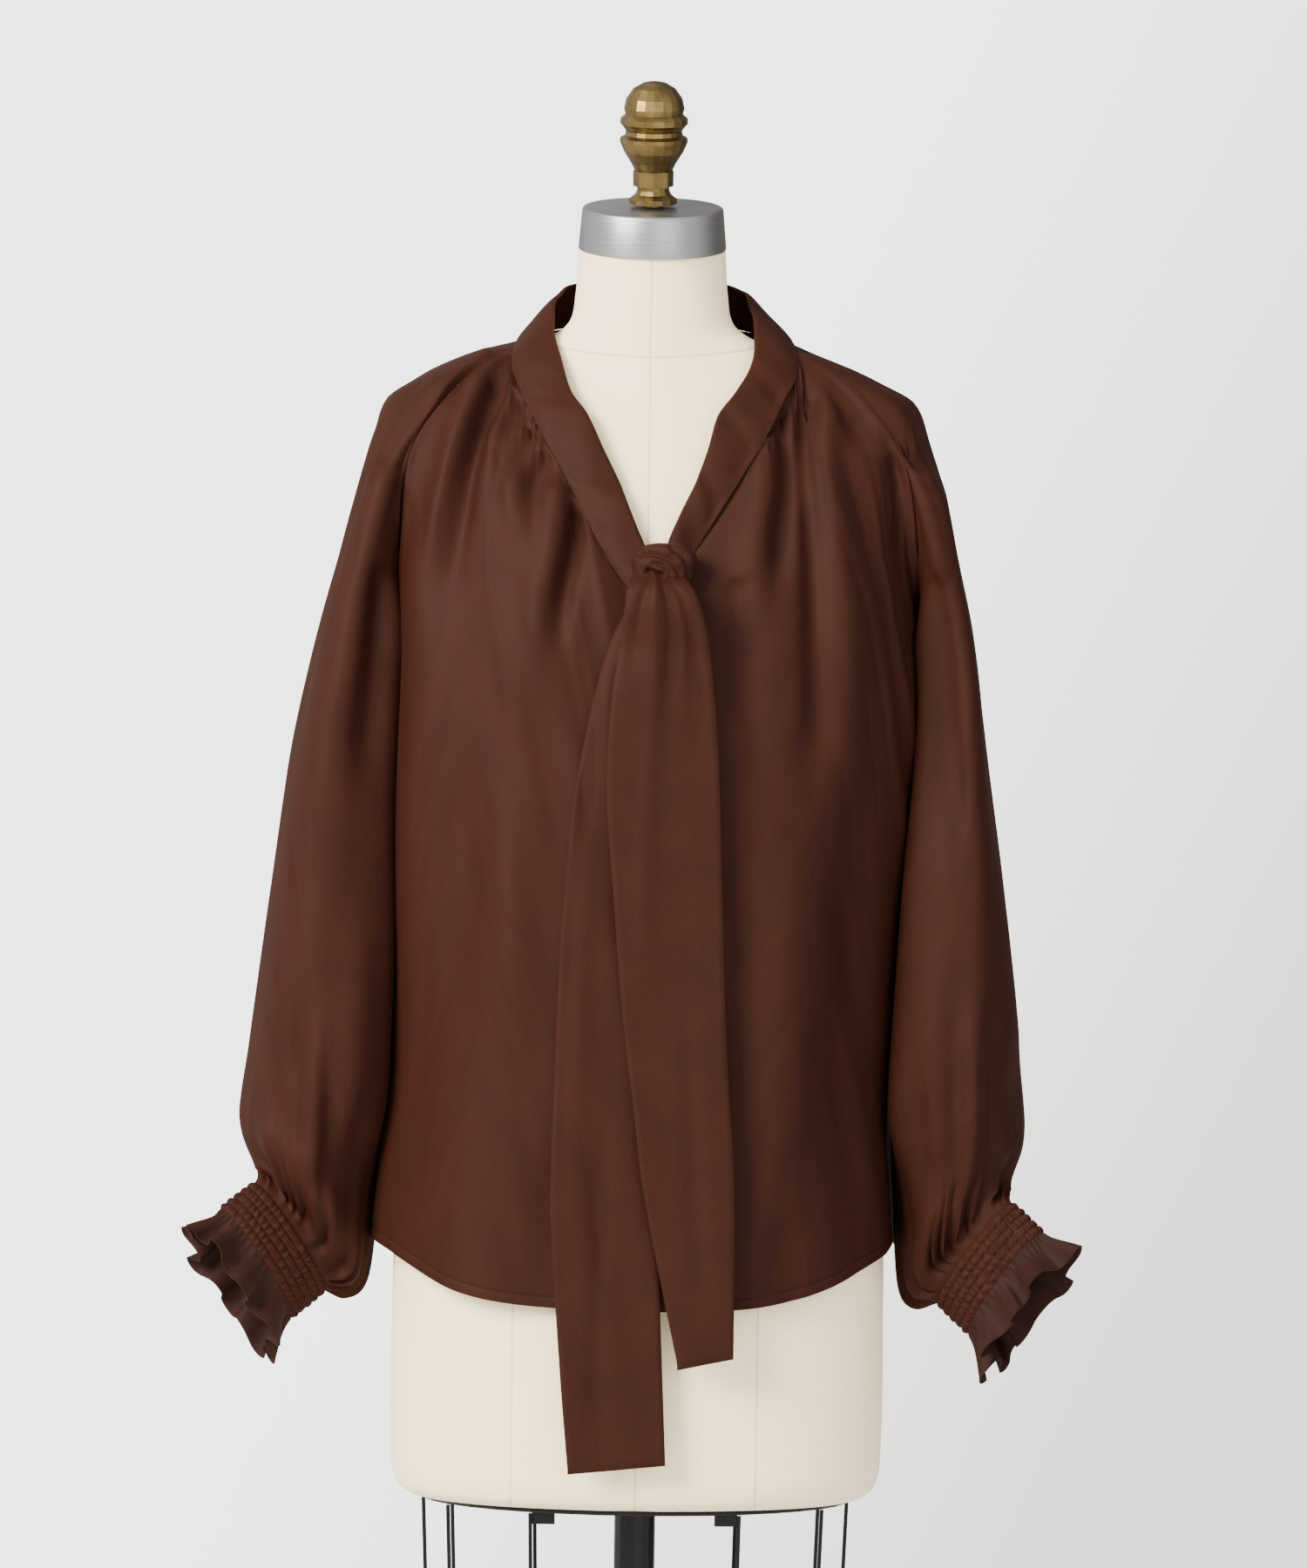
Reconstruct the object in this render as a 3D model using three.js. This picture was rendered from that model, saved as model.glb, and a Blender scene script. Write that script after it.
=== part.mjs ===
// Tie-neck blouse with bishop sleeves, worn by a limbless dress form on a pole.
// Millimetres, +Z up, front towards -Y, "left" is -X. The origin is on the floor under the pole.

import * as THREE from 'three';

// Cloth

const CLOTH = 2;
const TIE_CLOTH = 3;
const SEAM_GAP = 0.4;
const RAGLAN_GAP = 1.6;
const UNDERARM_GAP = 1.6;
const HEM_FRONT = 727;
const HEM_SIDE = 766;
const PANEL_ROWS = 14;
const SLEEVE_ROWS = 16;
const SEAM_STEPS = { raglan: 8, frontNeck: 13, sleeveNeck: 4, backNeck: 12 };

// Neck seam, from the middle of the back to the bottom of the V. The band's folded edge is at "fold".
const NECK_SEAM = [
  { at: 0.0, left: 0, right: 0, y: 74, z: 1420, foldLeft: 0, foldRight: 0, foldY: 68, foldZ: 1452 },
  { at: 1.0, left: 38, right: 40, y: 66, z: 1417, foldLeft: 33, foldRight: 33, foldY: 61, foldZ: 1450 },
  { at: 2.0, left: 72, right: 76, y: 45, z: 1411, foldLeft: 59, foldRight: 61, foldY: 42, foldZ: 1444 },
  { at: 3.0, left: 94, right: 100, y: 18, z: 1403, foldLeft: 68, foldRight: 70, foldY: 14, foldZ: 1434 },
  { at: 4.0, left: 98, right: 104, y: -20, z: 1393, foldLeft: 70, foldRight: 74, foldY: -20, foldZ: 1412 },
  { at: 5.0, left: 97, right: 103, y: -38, z: 1378, foldLeft: 63, foldRight: 76, foldY: -44, foldZ: 1388 },
  { at: 6.0, left: 88, right: 93, y: -57, z: 1358, foldLeft: 56, foldRight: 66, foldY: -62, foldZ: 1366 },
  { at: 7.0, left: 76, right: 82, y: -71, z: 1335, foldLeft: 44, foldRight: 50, foldY: -74, foldZ: 1349 },
  { at: 8.0, left: 62, right: 68, y: -83, z: 1311, foldLeft: 32, foldRight: 37, foldY: -85, foldZ: 1324 },
  { at: 9.0, left: 50, right: 54, y: -92, z: 1288, foldLeft: 20, foldRight: 28, foldY: -95, foldZ: 1299 },
  { at: 10.0, left: 32, right: 33, y: -104, z: 1254, foldLeft: 7, foldRight: 17, foldY: -106, foldZ: 1267 },
  { at: 11.0, left: 15, right: 16, y: -110, z: 1229, foldLeft: -3, foldRight: 10, foldY: -111, foldZ: 1245 },
  { at: 11.8, left: 0, right: 0, y: -113, z: 1218, foldLeft: -4, foldRight: 4, foldY: -114, foldZ: 1240 },
];
const FRONT_CORNER = 4.0;
const BACK_CORNER = 3.0;
const V_BOTTOM = 11.8;
const BAND_END = 10.8;

// Raglan seams from the armpit to the neck. "body" is the direction, in degrees from the side of the
// body to its middle, that the cloth faces there; "hang" is where round the body the cloth below
// the seam hangs, 90 at the side and 0 in the middle.
const FRONT_RAGLAN = [
  { at: 0.0, left: 177, right: 199, y: 5, z: 1205, body: 0, hang: 90 },
  { at: 0.15, left: 176, right: 195, y: -26, z: 1226, body: 20, hang: 79 },
  { at: 0.3, left: 175, right: 190, y: -47, z: 1256, body: 35, hang: 68.5 },
  { at: 0.5, left: 172, right: 184, y: -57, z: 1300, body: 47, hang: 59.5 },
  { at: 0.65, left: 165, right: 174, y: -55, z: 1328, body: 50, hang: 55 },
  { at: 0.78, left: 150, right: 158, y: -48, z: 1352, body: 52, hang: 50.5 },
  { at: 0.9, left: 124, right: 130, y: -35, z: 1380, body: 55, hang: 44.5 },
  { at: 1.0, left: 98, right: 104, y: -20, z: 1393, body: 58, hang: 38 },
];
const BACK_RAGLAN = [
  { at: 0.0, left: 177, right: 199, y: 5, z: 1205, body: 0, hang: 90 },
  { at: 0.15, left: 174, right: 190, y: 46, z: 1228, body: 25, hang: 72 },
  { at: 0.3, left: 168, right: 180, y: 68, z: 1262, body: 40, hang: 58.5 },
  { at: 0.5, left: 158, right: 168, y: 82, z: 1308, body: 52, hang: 47.5 },
  { at: 0.65, left: 146, right: 155, y: 80, z: 1342, body: 57, hang: 43 },
  { at: 0.78, left: 130, right: 138, y: 66, z: 1368, body: 58, hang: 39.5 },
  { at: 0.9, left: 112, right: 118, y: 44, z: 1390, body: 60, hang: 36 },
  { at: 1.0, left: 94, right: 100, y: 18, z: 1403, body: 62, hang: 32 },
];

// How the body of the blouse hangs: half widths, front and back depth, at each height.
const BODY_HANG = [
  { z: 700, left: 189, right: 183, front: 128, back: 129 },
  { z: 766, left: 187, right: 181, front: 128, back: 128 },
  { z: 850, left: 181, right: 175, front: 128, back: 126 },
  { z: 930, left: 179, right: 180, front: 128, back: 124 },
  { z: 1010, left: 178, right: 186, front: 128, back: 122 },
  { z: 1088, left: 178, right: 194, front: 129, back: 117 },
  { z: 1170, left: 177, right: 199, front: 129, back: 117 },
  { z: 1205, left: 177, right: 199, front: 127, back: 117 },
  { z: 1255, left: 175, right: 190, front: 119, back: 116 },
  { z: 1300, left: 172, right: 184, front: 106, back: 112 },
  { z: 1350, left: 160, right: 168, front: 84, back: 100 },
  { z: 1400, left: 140, right: 146, front: 56, back: 80 },
  { z: 1425, left: 125, right: 130, front: 44, back: 74 },
];
const HANG_ROUNDNESS = 2.3;
const SIDE_Y = 5;

// How each sleeve hangs: its inner and outer side from the middle, its front and its back.
const SLEEVE_HANG = {
  left: [
    { z: 700, inner: 189, outer: 262, front: -60, back: 96 },
    { z: 790, inner: 188, outer: 276, front: -68, back: 102 },
    { z: 840, inner: 185, outer: 285, front: -74, back: 104 },
    { z: 900, inner: 183, outer: 279, front: -76, back: 104 },
    { z: 1000, inner: 182, outer: 267, front: -74, back: 102 },
    { z: 1100, inner: 182, outer: 253, front: -70, back: 98 },
    { z: 1162, inner: 181, outer: 240, front: -68, back: 94 },
    { z: 1205, inner: 180, outer: 230, front: -66, back: 92 },
    { z: 1249, inner: 177, outer: 217, front: -66, back: 90 },
    { z: 1299, inner: 170, outer: 206, front: -64, back: 86 },
    { z: 1336, inner: 160, outer: 198, front: -57, back: 78 },
    { z: 1361, inner: 145, outer: 189, front: -48, back: 66 },
    { z: 1373, inner: 135, outer: 173, front: -42, back: 58 },
    { z: 1386, inner: 118, outer: 156, front: -34, back: 46 },
    { z: 1398, inner: 95, outer: 130, front: -24, back: 34 },
    { z: 1405, inner: 80, outer: 100, front: -18, back: 26 },
  ],
  right: [
    { z: 700, inner: 184, outer: 255, front: -60, back: 96 },
    { z: 790, inner: 183, outer: 268, front: -68, back: 102 },
    { z: 840, inner: 180, outer: 275, front: -74, back: 104 },
    { z: 900, inner: 182, outer: 271, front: -76, back: 104 },
    { z: 1000, inner: 190, outer: 260, front: -74, back: 102 },
    { z: 1100, inner: 203, outer: 245, front: -68, back: 98 },
    { z: 1162, inner: 205, outer: 237, front: -62, back: 94 },
    { z: 1205, inner: 202, outer: 230, front: -60, back: 92 },
    { z: 1249, inner: 193, outer: 220, front: -62, back: 90 },
    { z: 1299, inner: 180, outer: 210, front: -62, back: 86 },
    { z: 1336, inner: 165, outer: 199, front: -56, back: 78 },
    { z: 1361, inner: 148, outer: 187, front: -48, back: 66 },
    { z: 1373, inner: 138, outer: 167, front: -42, back: 58 },
    { z: 1386, inner: 120, outer: 148, front: -34, back: 46 },
    { z: 1398, inner: 98, outer: 118, front: -24, back: 34 },
    { z: 1405, inner: 84, outer: 104, front: -18, back: 26 },
  ],
};

// Cuffs: a flat oval ring whose long side runs down and inwards, facing outwards, down and forwards.
const CUFF = { halfLength: 47, halfDepth: 16, height: 32, shirring: 1.2, columns: 32, rows: 4 };
const WRIST = {
  left: { x: 247, y: -36, z: 765, outward: 0.7, forward: 0.45, down: 0.55, long: [0.5, 0.2, -0.84] },
  right: { x: 238, y: -36, z: 760, outward: 0.66, forward: 0.45, down: 0.6, long: [0.42, 0.24, -0.875] },
};
const RUFFLE = { height: 26, waves: 9, columns: 45, rows: 3, flare: 0.15, wave: 5, droop: 4 };

// Folds of the panels. "top" and "low" are places across the panel from -1 to 1, "depth" is below
// the surface or, with a minus sign, above it, and "reach" is how far the fold runs down.
const FRONT_FOLDS = [
  { top: -0.54, low: -0.64, depth: 6, width: 0.05, reach: 260 },
  { top: -0.48, low: -0.56, depth: -4, width: 0.05, reach: 380 },
  { top: -0.41, low: -0.5, depth: 5, width: 0.035, reach: 120 },
  { top: -0.34, low: -0.38, depth: -3, width: 0.04, reach: 200 },
  { top: -0.28, low: -0.3, depth: 4, width: 0.035, reach: 90 },
  { top: -0.2, low: -0.24, depth: 8, width: 0.045, reach: 230 },
  { top: -0.14, low: -0.17, depth: -3, width: 0.04, reach: 300 },
  { top: 0.12, low: 0.16, depth: 3, width: 0.035, reach: 90 },
  { top: 0.25, low: 0.27, depth: 4, width: 0.035, reach: 110 },
  { top: 0.33, low: 0.34, depth: -3, width: 0.04, reach: 220 },
  { top: 0.41, low: 0.38, depth: 9, width: 0.045, reach: 260 },
  { top: 0.48, low: 0.5, depth: -4, width: 0.045, reach: 360 },
  { top: 0.57, low: 0.56, depth: 6, width: 0.04, reach: 420 },
];
const HEM_FOLDS = [
  { at: -0.74, depth: -4, width: 0.12 },
  { at: -0.5, depth: 5, width: 0.1 },
  { at: -0.2, depth: -4, width: 0.12 },
  { at: 0.15, depth: 4, width: 0.12 },
  { at: 0.45, depth: -5, width: 0.12 },
  { at: 0.72, depth: 4, width: 0.12 },
];
const BACK_FOLDS = [
  { top: -0.5, low: -0.58, depth: 7, width: 0.05, reach: 300 },
  { top: -0.33, low: -0.4, depth: -4, width: 0.05, reach: 380 },
  { top: -0.18, low: -0.22, depth: 6, width: 0.045, reach: 220 },
  { top: 0.0, low: 0.02, depth: -4, width: 0.05, reach: 420 },
  { top: 0.17, low: 0.22, depth: 7, width: 0.045, reach: 260 },
  { top: 0.34, low: 0.42, depth: -4, width: 0.05, reach: 340 },
  { top: 0.5, low: 0.6, depth: 6, width: 0.05, reach: 240 },
];
// Sleeve folds: "at" goes round from the underarm (0) by the front (0.25) and the outside (0.5).
const SLEEVE_FOLDS = [
  { at: 0.2, from: 380, to: 640, depth: 8, width: 0.05 },
  { at: 0.29, from: 200, to: 600, depth: -5, width: 0.06 },
  { at: 0.36, from: 330, to: 660, depth: 9, width: 0.05 },
  { at: 0.43, from: 60, to: 420, depth: -5, width: 0.06 },
  { at: 0.56, from: 300, to: 650, depth: 7, width: 0.05 },
  { at: 0.66, from: 100, to: 600, depth: -5, width: 0.06 },
  { at: 0.75, from: 280, to: 640, depth: 8, width: 0.05 },
  { at: 0.86, from: 200, to: 620, depth: -5, width: 0.06 },
];

// Tie: the knot, and the left and right edge of each tail at each height.
const KNOT = { x: 5, y: -123.3, z: 1240, halfWidth: 22, halfDepth: 15, halfHeight: 21 };
const TAIL_LIFT = { front: 11.1, back: 4.1 };
const TAIL_TOP = { front: 1224, back: 1219.4 };
const TAIL_SLANT = { front: -8, back: -7 };
const TAIL_FRONT = [
  { z: 685, left: 28, right: 67 },
  { z: 809, left: 3, right: 66 },
  { z: 870, left: -5, right: 62 },
  { z: 931, left: -13, right: 58 },
  { z: 1008, left: -20, right: 55 },
  { z: 1085, left: -26, right: 52 },
  { z: 1148, left: -24, right: 49 },
  { z: 1190, left: -18, right: 42 },
  { z: 1218, left: -12, right: 26 },
];
const TAIL_BACK = [
  { z: 609, left: -47, right: 21 },
  { z: 680, left: -53, right: 18 },
  { z: 793, left: -61, right: 13 },
  { z: 870, left: -60, right: 12 },
  { z: 946, left: -58, right: 12 },
  { z: 1008, left: -55, right: 12 },
  { z: 1085, left: -51, right: 10 },
  { z: 1148, left: -46, right: 8 },
  { z: 1190, left: -34, right: 6 },
  { z: 1218, left: -14, right: 4 },
];

// Dress form: half width, front and back depth and roundness at each height.
const TORSO = [
  { z: 582, half: 160, front: 96, back: 104, round: 2.2 },
  { z: 588, half: 169, front: 104, back: 112, round: 2.2 },
  { z: 604, half: 174, front: 109, back: 117, round: 2.2 },
  { z: 700, half: 175, front: 111, back: 119, round: 2.2 },
  { z: 800, half: 171, front: 110, back: 114, round: 2.2 },
  { z: 900, half: 146, front: 101, back: 98, round: 2.2 },
  { z: 1000, half: 123, front: 88, back: 88, round: 2.2 },
  { z: 1080, half: 134, front: 98, back: 94, round: 2.2 },
  { z: 1150, half: 149, front: 115, back: 102, round: 2.2 },
  { z: 1210, half: 156, front: 107, back: 106, round: 2.2 },
  { z: 1260, half: 161, front: 94, back: 106, round: 2.2 },
  { z: 1310, half: 165, front: 76, back: 100, round: 1.9 },
  { z: 1340, half: 168, front: 64, back: 90, round: 1.6 },
  { z: 1356, half: 166, front: 57, back: 82, round: 1.5 },
  { z: 1368, half: 155, front: 53, back: 77, round: 1.42 },
  { z: 1378, half: 137, front: 50, back: 73, round: 1.38 },
  { z: 1388, half: 117.6, front: 47, back: 69, round: 1.4 },
  { z: 1397, half: 93.7, front: 46, back: 66, round: 1.5 },
  { z: 1406, half: 70, front: 46, back: 64, round: 1.7 },
  { z: 1416, half: 58, front: 46, back: 61, round: 2 },
  { z: 1436, half: 54, front: 47, back: 58, round: 2 },
  { z: 1458, half: 52.5, front: 48, back: 54, round: 2 },
  { z: 1468, half: 52, front: 50, back: 50, round: 2 },
];
const TORSO_COLUMNS = 28;
const NECK_TOP = 1468;
const NECK_TILT = 12;
const CAP = { height: 30, topRadius: 50, footRadius: 52.5 };
const FINIAL_FOOT = [[0, 0], [7, 0], [7, 2.5], [17, 2.5], [17, 6], [13, 9], [11.5, 12], [11.5, 14.5], [0, 14.5]];
const FINIAL_NUT = { radius: 14.4, height: 11 };
const FINIAL_KNOB = [
  [0, 0], [13.5, 0], [16, 5], [21, 13], [24, 20], [24, 23], [20.5, 25], [20, 28], [22, 31], [24, 33], [24, 37],
  [20.5, 40], [21.5, 44], [20, 51], [15, 58], [8, 62], [3, 63], [0, 63],
];
const POLE_RADIUS = 14.5;
const BASE = { radius: 185, rim: 8, height: 15, hubRadius: 27, hubHeight: 45 };
const CAGE = { halfWidth: 151, halfDepth: 94, top: 579.9, bottom: 300, hoop: 1.8, wire: 1.4, taper: 0.93 };
const CLIP = { x: 64, y: -76, width: 16, depth: 8, height: 12 };
const CAGE_WIRE_ANGLES = [0, 29, 61, 119, 151, 180, 209, 241, 299, 331];

const COLOURS = {
  satin: 0x4f2d25,
  linen: 0xe9e4d6,
  aluminium: 0xb9bbbd,
  brass: 0x9a7c45,
  black: 0x17171a,
};

const vector = (x, y, z) => new THREE.Vector3(x, y, z);
const mix = (a, b, t) => a + (b - a) * t;
const clamp = (value, low, high) => Math.min(Math.max(value, low), high);
const ease = (t) => {
  const s = clamp(t, 0, 1);
  return s * s * (3 - 2 * s);
};
const radians = THREE.MathUtils.degToRad;

// Reads a named column of a table at a place between its rows, along a smooth curve.
function read(table, key, at, name) {
  const last = table.length - 1;
  let row = 0;
  while (row < last - 1 && at > table[row + 1][key]) row += 1;
  const slope = (index) => {
    const before = table[Math.max(index - 1, 0)];
    const after = table[Math.min(index + 1, last)];
    return (after[name] - before[name]) / (after[key] - before[key]);
  };
  const low = table[row];
  const high = table[row + 1];
  const span = high[key] - low[key];
  const t = clamp((at - low[key]) / span, 0, 1);
  const t2 = t * t;
  const t3 = t2 * t;
  return (2 * t3 - 3 * t2 + 1) * low[name] + (t3 - 2 * t2 + t) * span * slope(row)
    + (3 * t2 - 2 * t3) * high[name] + (t3 - t2) * span * slope(row + 1);
}

// A closed mesh from a grid of outer points and the matching grid of inner points. Each quad is
// split along its shorter diagonal.
function wall(outer, inner, isTube) {
  const columns = outer.length;
  const rows = outer[0].length;
  const points = [...outer.flat(), ...inner.flat()];
  const layer = columns * rows;
  const index = (i, j, deep) => (i % columns) * rows + j + (deep ? layer : 0);
  const triangles = [];
  const quad = (a, b, c, d) => {
    const isFirstShorter = points[a].distanceTo(points[c]) <= points[b].distanceTo(points[d]);
    if (isFirstShorter) triangles.push(a, b, c, a, c, d);
    else triangles.push(b, c, d, b, d, a);
  };
  const steps = isTube ? columns : columns - 1;
  for (let i = 0; i < steps; i += 1) {
    for (let j = 0; j < rows - 1; j += 1) {
      quad(index(i, j), index(i, j + 1), index(i + 1, j + 1), index(i + 1, j));
      quad(index(i, j, true), index(i + 1, j, true), index(i + 1, j + 1, true), index(i, j + 1, true));
    }
    quad(index(i, 0), index(i + 1, 0), index(i + 1, 0, true), index(i, 0, true));
    const end = rows - 1;
    quad(index(i, end), index(i, end, true), index(i + 1, end, true), index(i + 1, end));
  }
  if (!isTube) {
    const side = columns - 1;
    for (let j = 0; j < rows - 1; j += 1) {
      quad(index(0, j), index(0, j, true), index(0, j + 1, true), index(0, j + 1));
      quad(index(side, j), index(side, j + 1), index(side, j + 1, true), index(side, j, true));
    }
  }
  const vertices = points.flatMap((point) => point.toArray());
  const geometry = new THREE.BufferGeometry();
  geometry.setAttribute('position', new THREE.Float32BufferAttribute(vertices, 3));
  geometry.setIndex(triangles);
  return geometry;
}

// The direction that the cloth faces at each point of a grid: the mean of the quads round it,
// times "turned", which is -1 where the columns go round to the left.
function gridNormals(grid, isTube, turned) {
  const columns = grid.length;
  const normals = grid.map((line) => line.map(() => vector(0, 0, 0)));
  const steps = isTube ? columns : columns - 1;
  for (let i = 0; i < steps; i += 1) {
    const next = (i + 1) % columns;
    for (let j = 0; j < grid[i].length - 1; j += 1) {
      const falling = grid[next][j + 1].clone().sub(grid[i][j]);
      const rising = grid[next][j].clone().sub(grid[i][j + 1]);
      const facing = falling.cross(rising).normalize().multiplyScalar(turned);
      for (const corner of [normals[i][j], normals[i][j + 1], normals[next][j], normals[next][j + 1]]) {
        corner.add(facing);
      }
    }
  }
  return normals.map((line) => line.map((normal) => normal.normalize()));
}

function offsetGrid(grid, normals, distance) {
  return grid.map((line, i) => line.map((point, j) => {
    const shift = typeof distance === 'function' ? distance(i, j) : distance;
    return point.clone().addScaledVector(normals[i][j], shift);
  }));
}

// Points along a finely drawn line, at the fractions of its length that "fraction" gives.
function spread(line, rows, fraction) {
  const lengths = [0];
  for (let i = 1; i < line.length; i += 1) lengths.push(lengths[i - 1] + line[i].distanceTo(line[i - 1]));
  const total = lengths[lengths.length - 1];
  const points = [];
  let k = 0;
  for (let j = 0; j <= rows; j += 1) {
    const target = total * fraction(j / rows);
    while (k < line.length - 2 && lengths[k + 1] < target) k += 1;
    const t = clamp((target - lengths[k]) / (lengths[k + 1] - lengths[k] || 1), 0, 1);
    points.push(line[k].clone().lerp(line[k + 1], t));
  }
  return { points, total };
}

// Rows stand closer at the top of a panel, and at both ends of a sleeve.
const panelFraction = (t) => t ** 1.2;
const sleeveFraction = (t) => t - (0.42 * Math.sin(t * 2 * Math.PI)) / (2 * Math.PI);

// The seams that neighbouring pieces share. Each station has its point, the direction that the
// cloth faces there, and the direction across the seam.

function neckStation(side, at) {
  const name = side < 0 ? 'left' : 'right';
  const fold = side < 0 ? 'foldLeft' : 'foldRight';
  const get = (column) => read(NECK_SEAM, 'at', at, column);
  const point = vector(side * get(name), get('y'), get('z'));
  const edge = vector(side * get(fold), get('foldY'), get('foldZ'));
  const across = edge.clone().sub(point).normalize();
  const ahead = clamp(at + 0.05, 0, V_BOTTOM);
  const behind = clamp(at - 0.05, 0, V_BOTTOM);
  const along = vector(
    side * (read(NECK_SEAM, 'at', ahead, name) - read(NECK_SEAM, 'at', behind, name)),
    read(NECK_SEAM, 'at', ahead, 'y') - read(NECK_SEAM, 'at', behind, 'y'),
    read(NECK_SEAM, 'at', ahead, 'z') - read(NECK_SEAM, 'at', behind, 'z'),
  ).normalize();
  const normal = along.clone().cross(across).multiplyScalar(-side);
  if (at < 0.001) normal.x = 0;
  return { point, edge, normal: normal.normalize(), across };
}

function raglanStation(side, isFront, at) {
  const table = isFront ? FRONT_RAGLAN : BACK_RAGLAN;
  const name = side < 0 ? 'left' : 'right';
  const get = (place, column) => read(table, 'at', clamp(place, 0, 1), column);
  const pointAt = (place) => vector(side * get(place, name), get(place, 'y'), get(place, 'z'));
  const point = pointAt(at);
  const along = pointAt(Math.min(at + 0.02, 1)).sub(pointAt(Math.max(at - 0.02, 0))).normalize();
  const angle = radians(get(at, 'body'));
  const level = 1 - 0.85 * ease((point.z - 1300) / 110);
  const forward = isFront ? -1 : 1;
  const body = vector(side * Math.cos(angle), forward * Math.sin(angle), 0).multiplyScalar(level);
  body.setZ(Math.sqrt(1 - level * level)).normalize();
  const towardsBody = along.clone().cross(body).multiplyScalar(isFront ? -side : side).normalize();
  return { point, towardsBody, hang: get(at, 'hang') };
}

// One point of the hanging body. The angle goes from -90 at the left side by 0 in the middle.
function bodyPoint(angle, z, isFront) {
  const width = read(BODY_HANG, 'z', z, angle < 0 ? 'left' : 'right');
  const depth = read(BODY_HANG, 'z', z, isFront ? 'front' : 'back');
  const power = 2 / HANG_ROUNDNESS;
  const sine = Math.sin(radians(angle));
  const cosine = Math.abs(Math.cos(radians(angle)));
  const forward = isFront ? -1 : 1;
  const x = Math.sign(sine) * width * Math.abs(sine) ** power;
  return vector(x, SIDE_Y + forward * (depth - forward * SIDE_Y) * cosine ** power, z);
}

function columnBelow(top, hangPoint, end, settle) {
  const start = hangPoint(top.z);
  const shift = top.clone().sub(start);
  const line = [];
  const samples = 90;
  for (let k = 0; k <= samples; k += 1) {
    const z = mix(top.z, end, (k / samples) ** 1.6);
    const fade = Math.exp(-(top.z - z) / settle);
    const point = hangPoint(z);
    point.x += shift.x * fade;
    point.y += shift.y * fade;
    line.push(point);
  }
  return line;
}

function foldDepth(folds, place, distance) {
  let depth = 0;
  for (const fold of folds) {
    const run = distance / fold.reach;
    const centre = mix(fold.top, fold.low, ease(run));
    const width = fold.width * (1 + 0.8 * ease(run));
    const start = ease(distance / 12);
    const fade = start * (1 - ease(run));
    depth += fold.depth * fade * Math.exp(-(((place - centre) / width) ** 2));
  }
  return depth;
}

function hemDepth(folds, place, run) {
  let depth = 0;
  for (const fold of folds) {
    depth += fold.depth * ease(run * 1.3 - 0.3) * Math.exp(-(((place - fold.at) / fold.width) ** 2));
  }
  return depth;
}

// Where a raglan seam ends, its station also keeps clear of the neckband.
function trimCorner(station, side, corner) {
  const neck = neckStation(side, corner);
  const reach = station.top.clone().sub(neck.point).dot(neck.across);
  station.top.addScaledVector(neck.across, -SEAM_GAP - reach);
  station.normal = neck.normal;
}

// At the neck seam a piece faces the way that the neckband does.
function faceTheNeck(facing, stations) {
  stations.forEach((station, i) => {
    if (station.normal) facing[i][0] = station.normal.clone();
  });
}

// A body panel: its columns start on the left raglan seam, the neck seam and the right raglan seam.
function bodyPanel(isFront, folds) {
  const corner = isFront ? FRONT_CORNER : BACK_CORNER;
  const neckEnd = isFront ? V_BOTTOM : 0;
  const neckSteps = isFront ? SEAM_STEPS.frontNeck : SEAM_STEPS.backNeck / 2;
  const stations = [];
  for (const side of [-1, 1]) {
    const half = [];
    for (let k = 0; k <= SEAM_STEPS.raglan; k += 1) {
      const at = k / SEAM_STEPS.raglan;
      const seam = raglanStation(side, isFront, at);
      const top = seam.point.clone().addScaledVector(seam.towardsBody, RAGLAN_GAP / 2);
      half.push({ top, angle: side * seam.hang, settle: mix(30, 60, at) });
    }
    trimCorner(half[SEAM_STEPS.raglan], side, corner);
    for (let k = 1; k <= neckSteps; k += 1) {
      const at = mix(corner, neckEnd, k / neckSteps);
      const seam = neckStation(side, at);
      const top = seam.point.clone().addScaledVector(seam.across, -SEAM_GAP / 2);
      const angle = half[SEAM_STEPS.raglan].angle * (1 - k / neckSteps);
      half.push({ top, normal: seam.normal, angle, settle: 80 });
    }
    if (side < 0) stations.push(...half);
    else stations.push(...half.slice(0, -1).reverse());
  }
  const middle = stations[SEAM_STEPS.raglan + neckSteps];
  middle.top.x = 0;
  middle.normal.x = 0;
  middle.normal.normalize();
  const lengths = [];
  const grid = stations.map((station) => {
    const side = Math.abs(Math.sin(radians(station.angle)));
    const end = mix(HEM_FRONT, HEM_SIDE, side ** 3);
    const hang = (z) => bodyPoint(station.angle, z, isFront);
    const line = columnBelow(station.top, hang, end, station.settle);
    const result = spread(line, PANEL_ROWS, panelFraction);
    lengths.push(result.total);
    return result.points;
  });
  const turned = isFront ? 1 : -1;
  const normals = gridNormals(grid, false, turned);
  const last = stations.length - 1;
  const edge = (i) => Math.min(i, last - i) / 4;
  const folded = offsetGrid(grid, normals, (i, j) => {
    const run = panelFraction(j / PANEL_ROWS);
    const place = stations[i].angle / 90;
    const near = ease(edge(i)) * ease(j / 2);
    return -(foldDepth(folds, place, run * lengths[i]) + hemDepth(HEM_FOLDS, place, run)) * near;
  });
  const facing = gridNormals(folded, false, turned);
  faceTheNeck(facing, stations);
  for (const i of [0, last]) {
    for (let j = 1; j <= PANEL_ROWS; j += 1) facing[i][j] = vector(i === 0 ? -1 : 1, 0, 0);
    for (let j = 0; j <= PANEL_ROWS; j += 1) folded[i][j].y += (isFront ? -1 : 1) * SEAM_GAP / 2;
  }
  const inner = offsetGrid(folded, facing, -CLOTH);
  return isFront ? wall(folded, inner, false) : wall(folded.reverse(), inner.reverse(), false);
}

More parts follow.
